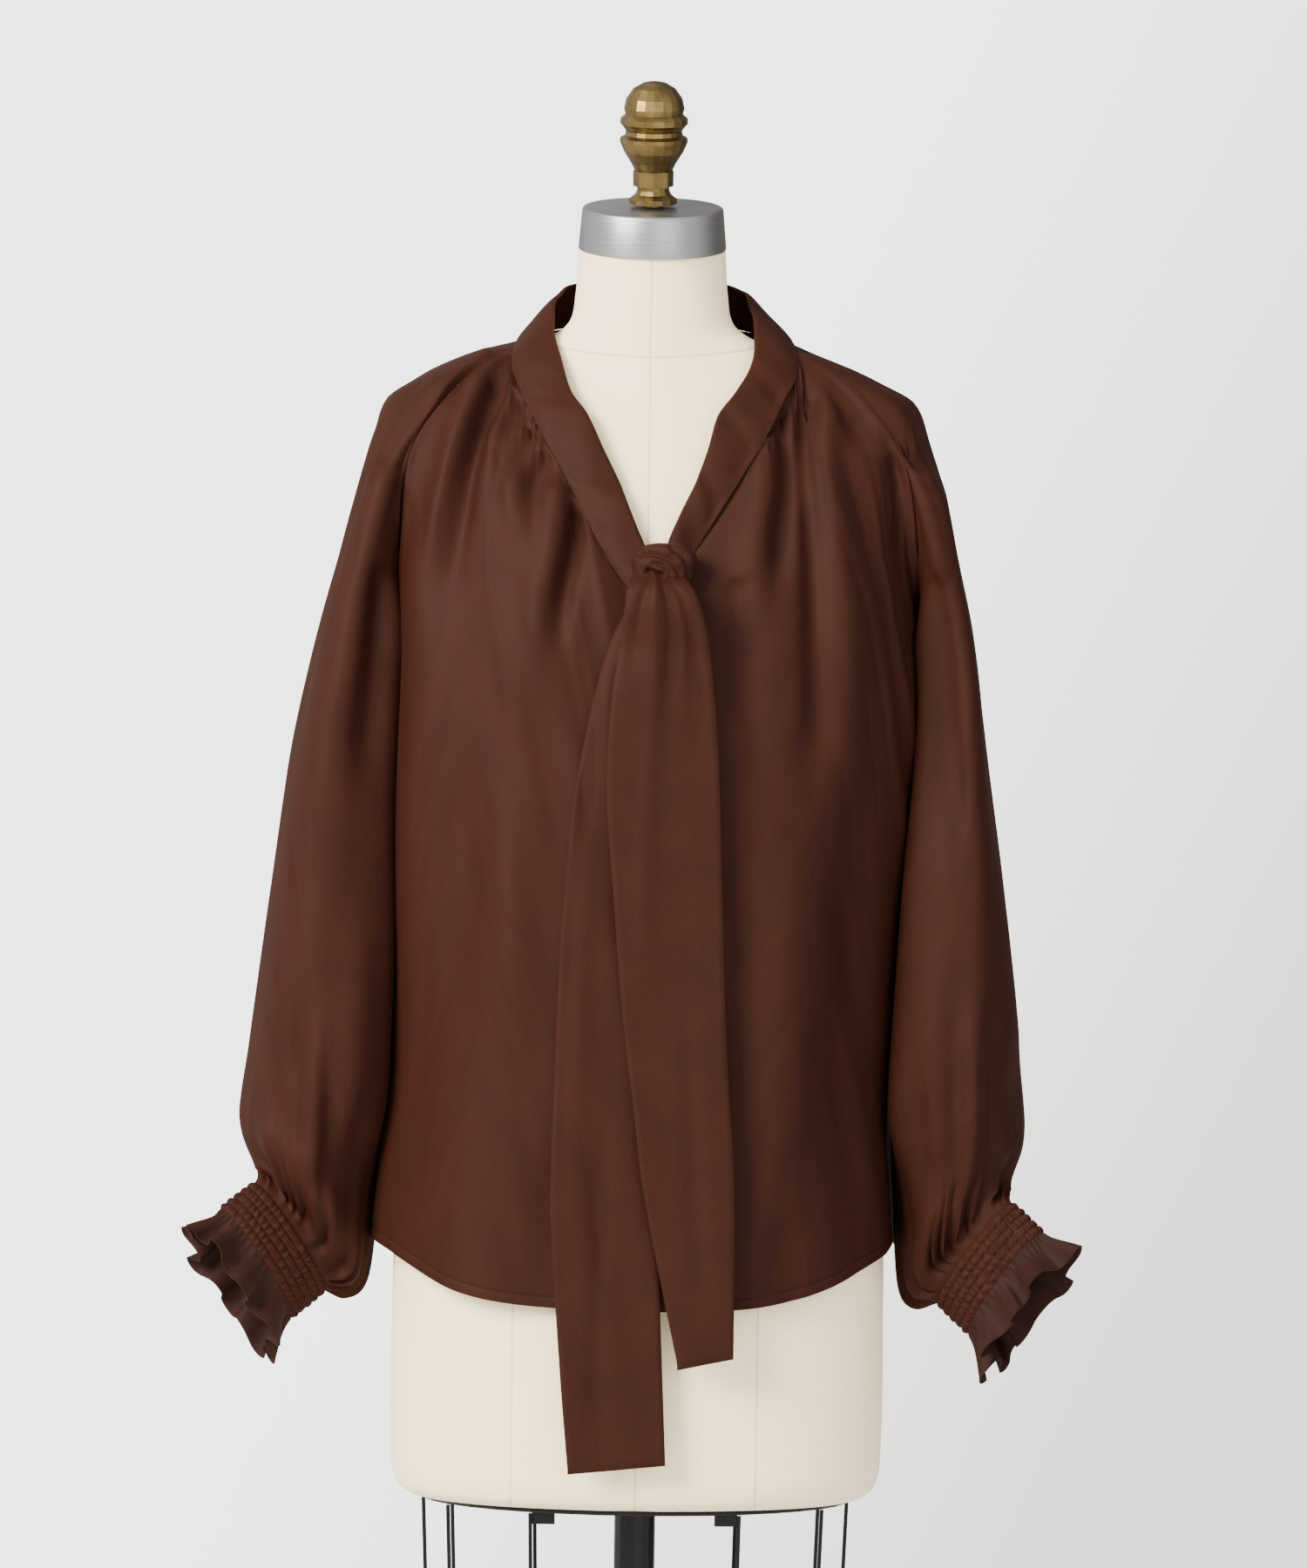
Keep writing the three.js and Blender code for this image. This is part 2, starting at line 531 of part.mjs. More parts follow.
// A sleeve: a tube whose columns start on the front raglan, the neck and the back raglan seam.
function sleeveStations(side) {
  const stations = [];
  const steps = SEAM_STEPS;
  for (let k = 0; k <= steps.raglan; k += 1) {
    const at = k / steps.raglan;
    const seam = raglanStation(side, true, at);
    const top = seam.point.clone().addScaledVector(seam.towardsBody, -RAGLAN_GAP / 2);
    top.x += side * UNDERARM_GAP * clamp(1 - at / 0.3, 0, 1);
    stations.push({ top, turn: 0.38 * at, settle: mix(40, 32, at) });
  }
  trimCorner(stations[steps.raglan], side, FRONT_CORNER);
  for (let k = 1; k < steps.sleeveNeck; k += 1) {
    const t = k / steps.sleeveNeck;
    const seam = neckStation(side, mix(FRONT_CORNER, BACK_CORNER, t));
    const top = seam.point.clone().addScaledVector(seam.across, -SEAM_GAP / 2);
    stations.push({ top, normal: seam.normal, turn: mix(0.38, 0.62, t), settle: 30 });
  }
  for (let k = steps.raglan; k > 0; k -= 1) {
    const at = k / steps.raglan;
    const seam = raglanStation(side, false, at);
    const top = seam.point.clone().addScaledVector(seam.towardsBody, -RAGLAN_GAP / 2);
    top.x += side * UNDERARM_GAP * clamp(1 - at / 0.3, 0, 1);
    stations.push({ top, turn: 1 - 0.38 * at, settle: mix(40, 32, at) });
  }
  trimCorner(stations[steps.raglan + steps.sleeveNeck], side, BACK_CORNER);
  return stations;
}

function sleevePoint(side, turn, z) {
  const table = SLEEVE_HANG[side < 0 ? 'left' : 'right'];
  const get = (column) => read(table, 'z', z, column);
  const angle = turn * 2 * Math.PI;
  const power = 2 / 2.2;
  const cosine = Math.cos(angle);
  const sine = Math.sin(angle);
  const middle = (get('inner') + get('outer')) / 2;
  const half = (get('outer') - get('inner')) / 2;
  const x = middle - half * Math.sign(cosine) * Math.abs(cosine) ** power;
  const depth = (get('back') - get('front')) / 2;
  const y = (get('back') + get('front')) / 2 - depth * Math.sign(sine) * Math.abs(sine) ** power;
  return vector(side * x, y, z);
}

function wristFrame(side) {
  const wrist = WRIST[side < 0 ? 'left' : 'right'];
  const centre = vector(side * wrist.x, wrist.y, wrist.z);
  const axis = vector(side * wrist.outward, -wrist.forward, -wrist.down).normalize();
  const long = vector(-side * wrist.long[0], wrist.long[1], wrist.long[2]);
  long.addScaledVector(axis, -long.dot(axis)).normalize();
  const depth = axis.clone().cross(long).multiplyScalar(-side).normalize();
  return { centre, axis, long, depth };
}

function wristPoint(frame, turn, along, grow, lift) {
  const angle = turn * 2 * Math.PI;
  const out = frame.long.clone().multiplyScalar(Math.cos(angle) * (CUFF.halfLength * grow + lift));
  out.addScaledVector(frame.depth, Math.sin(angle) * (CUFF.halfDepth * grow + lift));
  return out.add(frame.centre).addScaledVector(frame.axis, along);
}

function sleeveGeometry(side) {
  const stations = sleeveStations(side);
  const frame = wristFrame(side);
  const lengths = [];
  const grid = stations.map(({ top, turn, settle }) => {
    const inward = (1 + Math.cos(turn * 2 * Math.PI)) / 2;
    const backward = (1 - Math.sin(turn * 2 * Math.PI)) / 2;
    const end = mix(865, 800, inward) - 15 * backward;
    const line = columnBelow(top, (z) => sleevePoint(side, turn, z), end, settle);
    const start = line[line.length - 1];
    const cuff = wristPoint(frame, turn, -SEAM_GAP, 1, 0);
    const drop = mix(20, 95, inward * 0.6 + backward * 0.4);
    const first = start.clone().add(vector(side * 4, 0, -drop));
    const arrive = frame.axis.clone().lerp(vector(side, -0.6, 0.35).normalize(), inward * 0.8).normalize();
    const second = cuff.clone().addScaledVector(arrive, -mix(18, 30, inward));
    const curve = new THREE.CubicBezierCurve3(start, first, second, cuff);
    line.push(...curve.getPoints(30).slice(1));
    const result = spread(line, SLEEVE_ROWS, sleeveFraction);
    lengths.push(result.total);
    return result.points;
  });
  const normals = gridNormals(grid, true, side);
  const folded = offsetGrid(grid, normals, (i, j) => {
    const distance = sleeveFraction(j / SLEEVE_ROWS) * lengths[i];
    let depth = 0;
    for (const fold of SLEEVE_FOLDS) {
      const middle = (fold.from + fold.to) / 2;
      const reach = (fold.to - fold.from) / 2;
      const fade = 1 - ease(Math.abs(distance - middle) / reach);
      depth += fold.depth * fade * Math.exp(-(((stations[i].turn - fold.at) / fold.width) ** 2));
    }
    return -depth * ease(j / 3) * ease((SLEEVE_ROWS - j) / 2);
  });
  const facing = gridNormals(folded, true, side);
  faceTheNeck(facing, stations);
  const inner = offsetGrid(folded, facing, -CLOTH);
  return side > 0 ? wall(folded, inner, true) : wall(folded.reverse(), inner.reverse(), true);
}

// A tube round the wrist from a function of the turn and the way along it.
function wristTube(side, columns, rows, outerPoint, thickness) {
  const outer = [];
  const inner = [];
  for (let i = 0; i < columns; i += 1) {
    const turn = i / columns;
    outer.push(Array.from({ length: rows + 1 }, (_, j) => outerPoint(turn, j / rows, 0, i, j)));
    inner.push(Array.from({ length: rows + 1 }, (_, j) => outerPoint(turn, j / rows, thickness, i, j)));
  }
  return side < 0 ? wall(outer.reverse(), inner.reverse(), true) : wall(outer, inner, true);
}

// The shirred cuff: raised dimples outside, plain inside.
function cuffGeometry(side) {
  const frame = wristFrame(side);
  return wristTube(side, CUFF.columns, CUFF.rows, (turn, t, deep, i, j) => {
    const isRim = j === 0 || j === CUFF.rows;
    const dimple = isRim ? 0 : CUFF.shirring * ((i + j) % 2 ? 1 : -0.2);
    return wristPoint(frame, turn, t * CUFF.height, 1, deep ? -deep : dimple);
  }, CLOTH);
}

// The ruffle: it flares from the cuff in even waves and hangs a little.
function ruffleGeometry(side) {
  const frame = wristFrame(side);
  return wristTube(side, RUFFLE.columns, RUFFLE.rows, (turn, t, deep) => {
    const wave = Math.sin(turn * RUFFLE.waves * 2 * Math.PI);
    const along = CUFF.height + SEAM_GAP + t * RUFFLE.height;
    const lift = RUFFLE.wave * wave * t ** 0.8 - deep;
    const point = wristPoint(frame, turn, along, 1, 0);
    const centre = frame.centre.clone().addScaledVector(frame.axis, along);
    const out = point.clone().sub(centre);
    const reach = out.length();
    out.normalize();
    const spreadOut = reach + RUFFLE.flare * RUFFLE.height * ease(t) * t + lift;
    return centre.addScaledVector(out, spreadOut).add(vector(0, 0, -RUFFLE.droop * t * t));
  }, CLOTH * 0.8);
}

// The neckband: it follows the same stations as the panels and ends under the knot.
function bandGeometry() {
  const places = [];
  const add = (side, from, to, steps) => {
    for (let k = 0; k < steps; k += 1) places.push([side, mix(from, to, k / steps)]);
  };
  const lastStep = (V_BOTTOM - FRONT_CORNER) / SEAM_STEPS.frontNeck;
  const shown = Math.round((BAND_END - FRONT_CORNER) / lastStep);
  const end = FRONT_CORNER + shown * lastStep;
  add(-1, end, FRONT_CORNER, shown);
  add(-1, FRONT_CORNER, BACK_CORNER, SEAM_STEPS.sleeveNeck);
  add(-1, BACK_CORNER, 0, SEAM_STEPS.backNeck / 2);
  add(1, 0, BACK_CORNER, SEAM_STEPS.backNeck / 2);
  add(1, BACK_CORNER, FRONT_CORNER, SEAM_STEPS.sleeveNeck);
  add(1, FRONT_CORNER, end, shown);
  places.push([1, end]);
  const rows = 3;
  const outer = [];
  const inner = [];
  for (const [side, at] of places) {
    const { point, edge, normal, across } = neckStation(side, at);
    const start = point.clone().addScaledVector(across, SEAM_GAP / 2);
    const line = [];
    const under = [];
    for (let j = 0; j <= rows; j += 1) {
      const t = j / rows;
      const puff = Math.sin(t * Math.PI) * 2.5;
      const place = start.clone().lerp(edge, t).addScaledVector(normal, puff);
      line.push(place);
      under.push(place.clone().addScaledVector(normal, -CLOTH));
    }
    outer.push(line);
    inner.push(under);
  }
  return wall(outer, inner, false);
}

// One hanging tail of the tie: double cloth that follows the front of the blouse, then hangs free.
function tailGeometry(table, lift, top, slant) {
  const columns = 4;
  const rows = 16;
  const bottom = table[0].z;
  const outer = [];
  const inner = [];
  for (let i = 0; i <= columns; i += 1) {
    const s = i / columns;
    const line = [];
    const under = [];
    for (let j = 0; j <= rows; j += 1) {
      const z = mix(top, bottom - slant * (s - 0.5), j / rows);
      const x = mix(read(table, 'z', z, 'left'), read(table, 'z', z, 'right'), s);
      const hang = bodyPoint(0, Math.max(z, HEM_FRONT), true).y;
      const bulge = 4 * Math.sin(s * Math.PI) * (1 - ease((top - z) / 260));
      const y = hang - lift - bulge;
      line.push(vector(x, y, z));
      under.push(vector(x, y + TIE_CLOTH, z));
    }
    outer.push(line);
    inner.push(under);
  }
  return wall(outer, inner, false);
}

// The knot: a soft lump, wider at the top and pinched in its middle.
function knotGeometry() {
  const outline = new THREE.SphereGeometry(1, 16, 10);
  const place = outline.getAttribute('position');
  const geometry = new THREE.BufferGeometry();
  const pinch = (z) => 1 - 0.12 * Math.exp(-((z / 0.3) ** 2));
  for (let k = 0; k < place.count; k += 1) {
    const z = place.getY(k);
    const x = place.getX(k) * KNOT.halfWidth * pinch(z);
    place.setXYZ(k, KNOT.x + x, KNOT.y - place.getZ(k) * KNOT.halfDepth, KNOT.z + z * KNOT.halfHeight);
  }
  geometry.setAttribute('position', place);
  geometry.setIndex(outline.getIndex());
  return geometry;
}

// The dress form: level rings up to the neck, whose last rings tilt forward.
function torsoGeometry() {
  const rings = [];
  const heights = TORSO.flatMap((row, k) => {
    const next = TORSO[k + 1];
    return next && next.z - row.z > 30 ? [row.z, (row.z + next.z) / 2] : [row.z];
  });
  for (const z of heights) {
    const get = (column) => read(TORSO, 'z', z, column);
    const tilt = radians(NECK_TILT) * ease((z - 1420) / (NECK_TOP - 1420));
    const ring = [];
    for (let i = 0; i < TORSO_COLUMNS; i += 1) {
      const angle = (i / TORSO_COLUMNS) * 2 * Math.PI;
      const power = 2 / get('round');
      const sine = Math.sin(angle);
      const cosine = Math.cos(angle);
      const depth = cosine > 0 ? get('front') : get('back');
      const x = -get('half') * Math.sign(sine) * Math.abs(sine) ** power;
      const y = -depth * Math.sign(cosine) * Math.abs(cosine) ** power;
      ring.push(vector(x, y * Math.cos(tilt), z + y * Math.sin(tilt)));
    }
    rings.push(ring);
  }
  return ringSolid(rings);
}

// A solid through level rings of points, closed by a fan at each end.
function ringSolid(rings) {
  const count = rings[0].length;
  const vertices = rings.flat().flatMap((point) => [point.x, point.y, point.z]);
  const triangles = [];
  for (let k = 0; k < rings.length - 1; k += 1) {
    for (let i = 0; i < count; i += 1) {
      const a = k * count + i;
      const b = k * count + ((i + 1) % count);
      triangles.push(a, a + count, b, b, a + count, b + count);
    }
  }
  for (const end of [0, rings.length - 1]) {
    const middle = vertices.length / 3;
    const centre = vector(0, 0, 0);
    rings[end].forEach((point) => centre.addScaledVector(point, 1 / count));
    vertices.push(centre.x, centre.y, centre.z);
    for (let i = 0; i < count; i += 1) {
      const a = end * count + i;
      const b = end * count + ((i + 1) % count);
      if (end === 0) triangles.push(middle, a, b);
      else triangles.push(middle, b, a);
    }
  }
  const geometry = new THREE.BufferGeometry();
  geometry.setAttribute('position', new THREE.Float32BufferAttribute(vertices, 3));
  geometry.setIndex(triangles);
  return geometry;
}

// A turned solid whose axis is +Z.
function turned(profile, segments) {
  const points = profile.map(([radius, height]) => new THREE.Vector2(radius, height));
  return new THREE.LatheGeometry(points, segments).rotateX(Math.PI / 2);
}

function hoopGeometry(z, scale) {
  const columns = 36;
  const sides = 6;
  const rings = [];
  for (let i = 0; i < columns; i += 1) {
    const angle = (i / columns) * 2 * Math.PI;
    const ring = [];
    for (let k = 0; k < sides; k += 1) {
      const around = (k / sides) * 2 * Math.PI;
      const reach = CAGE.hoop * Math.cos(around);
      const x = (CAGE.halfWidth * scale + reach) * Math.cos(angle);
      const y = (CAGE.halfDepth * scale + reach) * Math.sin(angle);
      ring.push(vector(x, y, z + CAGE.hoop * Math.sin(around)));
    }
    rings.push(ring);
  }
  const vertices = rings.flat().flatMap((point) => [point.x, point.y, point.z]);
  const triangles = [];
  for (let i = 0; i < columns; i += 1) {
    for (let k = 0; k < sides; k += 1) {
      const a = i * sides + k;
      const b = i * sides + ((k + 1) % sides);
      const c = ((i + 1) % columns) * sides + ((k + 1) % sides);
      const d = ((i + 1) % columns) * sides + k;
      triangles.push(a, d, c, a, c, b);
    }
  }
  const geometry = new THREE.BufferGeometry();
  geometry.setAttribute('position', new THREE.Float32BufferAttribute(vertices, 3));
  geometry.setIndex(triangles);
  return geometry;
}

function wireGeometry(angle) {
  const at = (z, scale) => vector(
    CAGE.halfWidth * scale * Math.cos(radians(angle)),
    CAGE.halfDepth * scale * Math.sin(radians(angle)),
    z,
  );
  const gap = CAGE.hoop + 0.3;
  const top = at(CAGE.top - gap, 1);
  const bottom = at(CAGE.bottom + gap, CAGE.taper);
  const sides = 8;
  const rings = [bottom, top].map((centre) => Array.from({ length: sides }, (_, k) => {
    const around = (-k / sides) * 2 * Math.PI;
    return centre.clone().add(vector(CAGE.wire * Math.cos(around), CAGE.wire * Math.sin(around), 0));
  }));
  return ringSolid(rings);
}

const materials = {
  satin: () => new THREE.MeshStandardMaterial({ color: COLOURS.satin, roughness: 0.5, metalness: 0 }),
  linen: () => new THREE.MeshStandardMaterial({ color: COLOURS.linen, roughness: 0.9, metalness: 0 }),
  aluminium: () => new THREE.MeshStandardMaterial({ color: COLOURS.aluminium, roughness: 0.35, metalness: 1 }),
  brass: () => new THREE.MeshStandardMaterial({ color: COLOURS.brass, roughness: 0.4, metalness: 1 }),
  black: () => new THREE.MeshStandardMaterial({ color: COLOURS.black, roughness: 0.4, metalness: 0 }),
};

function addPiece(parent, name, geometry, finish) {
  const mesh = new THREE.Mesh(geometry, materials[finish]());
  mesh.name = name;
  parent.add(mesh);
  return mesh;
}

// Blouse

const blouse = new THREE.Group();
addPiece(blouse, 'front', bodyPanel(true, FRONT_FOLDS), 'satin');
addPiece(blouse, 'back', bodyPanel(false, BACK_FOLDS), 'satin');
for (const [name, side] of [['left', -1], ['right', 1]]) {
  addPiece(blouse, `sleeve_${name}`, sleeveGeometry(side), 'satin');
  addPiece(blouse, `cuff_${name}`, cuffGeometry(side), 'satin');
  addPiece(blouse, `ruffle_${name}`, ruffleGeometry(side), 'satin');
}
addPiece(blouse, 'neckband', bandGeometry(), 'satin');
addPiece(blouse, 'tie_knot', knotGeometry(), 'satin');
addPiece(blouse, 'tie_tail_front', tailGeometry(TAIL_FRONT, TAIL_LIFT.front, TAIL_TOP.front, TAIL_SLANT.front), 'satin');
addPiece(blouse, 'tie_tail_back', tailGeometry(TAIL_BACK, TAIL_LIFT.back, TAIL_TOP.back, TAIL_SLANT.back), 'satin');

// Dress form and stand

const dressForm = new THREE.Group();
addPiece(dressForm, 'form_torso', torsoGeometry(), 'linen');

const head = new THREE.Group();
head.position.set(0, 0, NECK_TOP);
head.rotation.x = radians(NECK_TILT);
const capProfile = [
  [0, 0.3],
  [CAP.footRadius, 0.3],
  [CAP.footRadius, 3],
  [CAP.topRadius, CAP.height - 1.5],
  [CAP.topRadius - 1.5, CAP.height],
  [0, CAP.height],
];
addPiece(head, 'neck_cap', turned(capProfile, 32), 'aluminium');
const foot = addPiece(head, 'finial_foot', turned(FINIAL_FOOT, 16), 'brass');
foot.position.z = CAP.height + 0.3;
const footHeight = FINIAL_FOOT[FINIAL_FOOT.length - 1][1];
const nutProfile = [[0, 0], [FINIAL_NUT.radius, 0], [FINIAL_NUT.radius, FINIAL_NUT.height], [0, FINIAL_NUT.height]];
const nut = addPiece(head, 'finial_nut', turned(nutProfile, 8), 'brass');
nut.position.z = foot.position.z + footHeight + 0.3;
const knob = addPiece(head, 'finial_knob', turned(FINIAL_KNOB, 20), 'brass');
knob.position.z = nut.position.z + FINIAL_NUT.height + 0.3;
dressForm.add(head);

const poleLength = TORSO[0].z - 0.6 - BASE.hubHeight;
const poleProfile = [[0, 0], [POLE_RADIUS, 0], [POLE_RADIUS, poleLength], [0, poleLength]];
const pole = addPiece(dressForm, 'pole', turned(poleProfile, 16), 'black');
pole.position.z = BASE.hubHeight + 0.3;

const baseProfile = [
  [0, 0],
  [BASE.radius, 0],
  [BASE.radius, BASE.rim],
  [BASE.radius - 12, BASE.height],
  [BASE.hubRadius + 10, BASE.height + 3],
  [BASE.hubRadius, BASE.height + 10],
  [BASE.hubRadius - 4, BASE.hubHeight],
  [0, BASE.hubHeight],
];
addPiece(dressForm, 'base', turned(baseProfile, 32), 'black');

addPiece(dressForm, 'cage_hoop_top', hoopGeometry(CAGE.top, 1), 'black');
addPiece(dressForm, 'cage_hoop_bottom', hoopGeometry(CAGE.bottom, CAGE.taper), 'black');
for (const [name, side] of [['left', -1], ['right', 1]]) {
  const block = new THREE.BoxGeometry(CLIP.width, CLIP.depth, CLIP.height);
  const clip = addPiece(dressForm, `cage_clip_${name}`, block, 'black');
  clip.position.set(side * CLIP.x, CLIP.y, TORSO[0].z - 0.3 - CLIP.height / 2);
}
CAGE_WIRE_ANGLES.forEach((angle, k) => {
  addPiece(dressForm, `cage_wire_${k + 1}`, wireGeometry(angle), 'black');
});

const dressed = new THREE.Group();
dressed.add(blouse, dressForm);

export default dressed;
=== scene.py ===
# %% [markdown]
# # A satin tie-neck blouse on a dress form
# The blouse is cut as a maker would cut it: a front and a back panel, two raglan sleeves gathered
# into shirred cuffs with a ruffle, a folded neckband, and the two ends of the band tied in front.
# It hangs on a limbless linen form on a pole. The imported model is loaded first, because every
# piece is placed in its frame: metres, +Z up, the front towards -Y.

import math

import bmesh
import bpy
import numpy as np
from mathutils import Matrix, Vector


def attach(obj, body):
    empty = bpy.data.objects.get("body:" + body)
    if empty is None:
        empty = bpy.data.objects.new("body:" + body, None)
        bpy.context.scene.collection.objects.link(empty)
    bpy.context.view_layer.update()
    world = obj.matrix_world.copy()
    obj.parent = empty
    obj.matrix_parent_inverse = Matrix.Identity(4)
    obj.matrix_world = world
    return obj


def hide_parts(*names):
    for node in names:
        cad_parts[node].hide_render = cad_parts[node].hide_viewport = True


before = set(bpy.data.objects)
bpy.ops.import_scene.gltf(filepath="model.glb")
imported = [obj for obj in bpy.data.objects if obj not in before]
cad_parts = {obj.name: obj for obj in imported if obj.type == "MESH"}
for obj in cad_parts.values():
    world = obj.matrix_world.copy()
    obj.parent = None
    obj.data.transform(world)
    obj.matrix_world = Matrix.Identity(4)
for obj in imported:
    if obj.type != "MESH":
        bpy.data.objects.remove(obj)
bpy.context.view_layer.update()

# %% [markdown]
# ## Camera, light and floor
# A long lens, about 148 mm, stands 4.6 m away, level with the chest and tipped down by a degree
# and a half, with a small roll. A large soft lamp stands high at the left, so that the folds fall
# dark towards the right; a broad weak one fills from the right, and the room is pale.

# %% Camera
MM = 0.001
AIM = Vector((6.1, 0, 1088)) * MM
DISTANCE = 4.6
PITCH, ROLL = math.radians(1.5), math.radians(-0.8)

eye = AIM + DISTANCE * Vector((0, -math.cos(PITCH), math.sin(PITCH)))
forward = (AIM - eye).normalized()
level = Vector((1, 0, 0))
above = level.cross(forward)
right = level * math.cos(ROLL) - above * math.sin(ROLL)
up = level * math.sin(ROLL) + above * math.cos(ROLL)
lens = bpy.data.cameras.new("camera")
lens.sensor_width = 36
lens.lens = 148.4
camera = bpy.data.objects.new("camera", lens)
camera.matrix_world = Matrix((right, up, -forward)).transposed().to_4x4()
camera.location = eye
bpy.context.collection.objects.link(camera)
bpy.context.scene.camera = camera
print("camera", camera.location, lens.lens)

# %% [markdown]
# ## Small helpers for the finishes
# Every finish below is a few noise and ramp nodes on a plain surface. Colours are written as the
# sRGB codes that a screen shows, and one function turns them linear.


# %% Nodes and colours
def linear(hexcode):
    """A colour from its sRGB hex code, turned linear."""
    parts = [int(hexcode[k:k + 2], 16) / 255 for k in (1, 3, 5)]
    return tuple(p / 12.92 if p <= 0.04045 else ((p + 0.055) / 1.055) ** 2.4 for p in parts) + (1.0,)


def fill(tree, node, sockets):
    """Gives each socket of a node its value, or links another node's output to it."""
    for name, value in sockets.items():
        if isinstance(value, bpy.types.NodeSocket):
            tree.links.new(value, node.inputs[name])
        else:
            node.inputs[name].default_value = value


def add_node(tree, kind, sockets=None, **settings):
    node = tree.nodes.new(kind)
    for name, value in settings.items():
        setattr(node, name, value)
    fill(tree, node, sockets or {})
    return node


def noise(tree, vector, scale, detail):
    sockets = {"Vector": vector, "Scale": scale, "Detail": detail}
    return add_node(tree, "ShaderNodeTexNoise", sockets).outputs["Fac"]


def stretched(tree, vector, scale):
    return add_node(tree, "ShaderNodeMapping", {0: vector, "Scale": scale}).outputs[0]


def maths(tree, operation, *values):
    return add_node(tree, "ShaderNodeMath", dict(enumerate(values)), operation=operation).outputs[0]


def ramp(tree, value, low, high, first=0.0, last=1.0):
    """Maps a value from between low and high to between first and last."""
    sockets = {0: value, 1: low, 2: high, 3: first, 4: last}
    return add_node(tree, "ShaderNodeMapRange", sockets).outputs[0]


def blend(tree, share, first, second):
    """A mix of two colours, each a hex code or another node's output."""
    pair = (linear(c) if isinstance(c, str) else c for c in (first, second))
    sockets = dict(zip((0, 6, 7), (share, *pair)))
    return add_node(tree, "ShaderNodeMix", sockets, data_type="RGBA").outputs[2]


def relief(tree, height, strength, distance):
    return add_node(tree, "ShaderNodeBump",
                    {"Height": height, "Strength": strength, "Distance": distance}).outputs[0]


def new_material(name):
    material = bpy.data.materials.new(name)
    material.use_nodes = True
    return material, material.node_tree, material.node_tree.nodes["Principled BSDF"]


# %% [markdown]
# ## The room
# The wall that the camera sees has painted shade: it darkens to the right and a little downwards. What
# lights the part is another glow, which is darker behind it, so that no pale rim runs along its edges.


# %% Room and lamps
SEEN_STRENGTH, GLOW_STRENGTH = 4.4, 1.8
FLOOR_RADIUS, FLOOR_GAP = 2.3, 0.0006
LAMP_AIM = Vector((0, 0, 1.05))


def lamp(name, power, size, place, colour):
    light = bpy.data.lights.new(name, "AREA")
    light.energy = power
    light.size = size
    light.color = linear(colour)[:3]
    thing = bpy.data.objects.new(name, light)
    thing.location = place
    aim = LAMP_AIM - Vector(place)
    thing.rotation_euler = aim.to_track_quat("-Z", "Y").to_euler()
    bpy.context.collection.objects.link(thing)


lamp("key", 400, 1.7, (-2.3, -2.5, 2.7), "#FFF9F2")
lamp("fill", 56, 2.6, (1.4, -3.6, 1.5), "#F6F6FB")
lamp("back", 5, 1.6, (-0.8, 2.9, 2.5), "#FFFFFF")

world = bpy.data.worlds.new("pale room")
bpy.context.scene.world = world
world.use_nodes = True
tree = world.node_tree
tree.nodes.clear()
direction = add_node(tree, "ShaderNodeTexCoord").outputs["Generated"]
towards = add_node(tree, "ShaderNodeSeparateXYZ", {0: direction}).outputs
# what the camera sees: a wall with painted shade, darker downwards and to the right
painted_wall_shade = ramp(tree, maths(tree, "MULTIPLY_ADD", towards[2], -0.5, towards[0]), 0.0, 0.13)
wall = blend(tree, painted_wall_shade, "#EDECEA", "#B4B1AB")
seen = add_node(tree, "ShaderNodeBackground", {"Color": wall, "Strength": SEEN_STRENGTH})
# what lights the part: a pale room that is darker behind it
behind = ramp(tree, maths(tree, "MULTIPLY_ADD", towards[0], 0.5, towards[1]), 0.1, 0.8)
bounce = blend(tree, behind, "#F1EFEB", "#6E6A66")
glow = add_node(tree, "ShaderNodeBackground", {"Color": bounce, "Strength": GLOW_STRENGTH})
is_seen = add_node(tree, "ShaderNodeLightPath").outputs["Is Camera Ray"]
both = add_node(tree, "ShaderNodeMixShader", {0: is_seen, 1: glow.outputs[0], 2: seen.outputs[0]})
add_node(tree, "ShaderNodeOutputWorld", {"Surface": both.outputs[0]})

bpy.ops.object.select_all(action="DESELECT")
bpy.ops.mesh.primitive_circle_add(vertices=96, radius=FLOOR_RADIUS, fill_type="NGON",
                                  location=(0, 0, -FLOOR_GAP))
floor = bpy.context.object
floor.name = "floor"
bpy.ops.object.transform_apply(location=True, rotation=False, scale=False)
paint, tree, surface = new_material("pale floor paint")
grain = add_node(tree, "ShaderNodeTexNoise", {"Scale": 4.0, "Detail": 3.0}).outputs["Fac"]
fill(tree, surface, {"Roughness": 0.7, "Base Color": blend(tree, grain, "#DFDEDB", "#E5E4E2")})
floor.data.materials.append(paint)
print("lamps 3, floor radius", FLOOR_RADIUS, "m")

# %% [markdown]
# ## The finishes
# Crepe-back satin has long floats on its face, which give a soft sheen that is stronger along the
# warp, and a faint grain. It is drawn in the cloth's own flat coordinates, in metres, so that the
# grain follows the folds. Linen is a plain weave with slubs. The stand is gloss enamel, the neck
# plate is brushed aluminium and the finial is satin brass that has darkened with handling.


# %% Satin
SATIN_SPECULAR = 0.07
SATIN_SHEEN_TINT = "#8E6A5C"


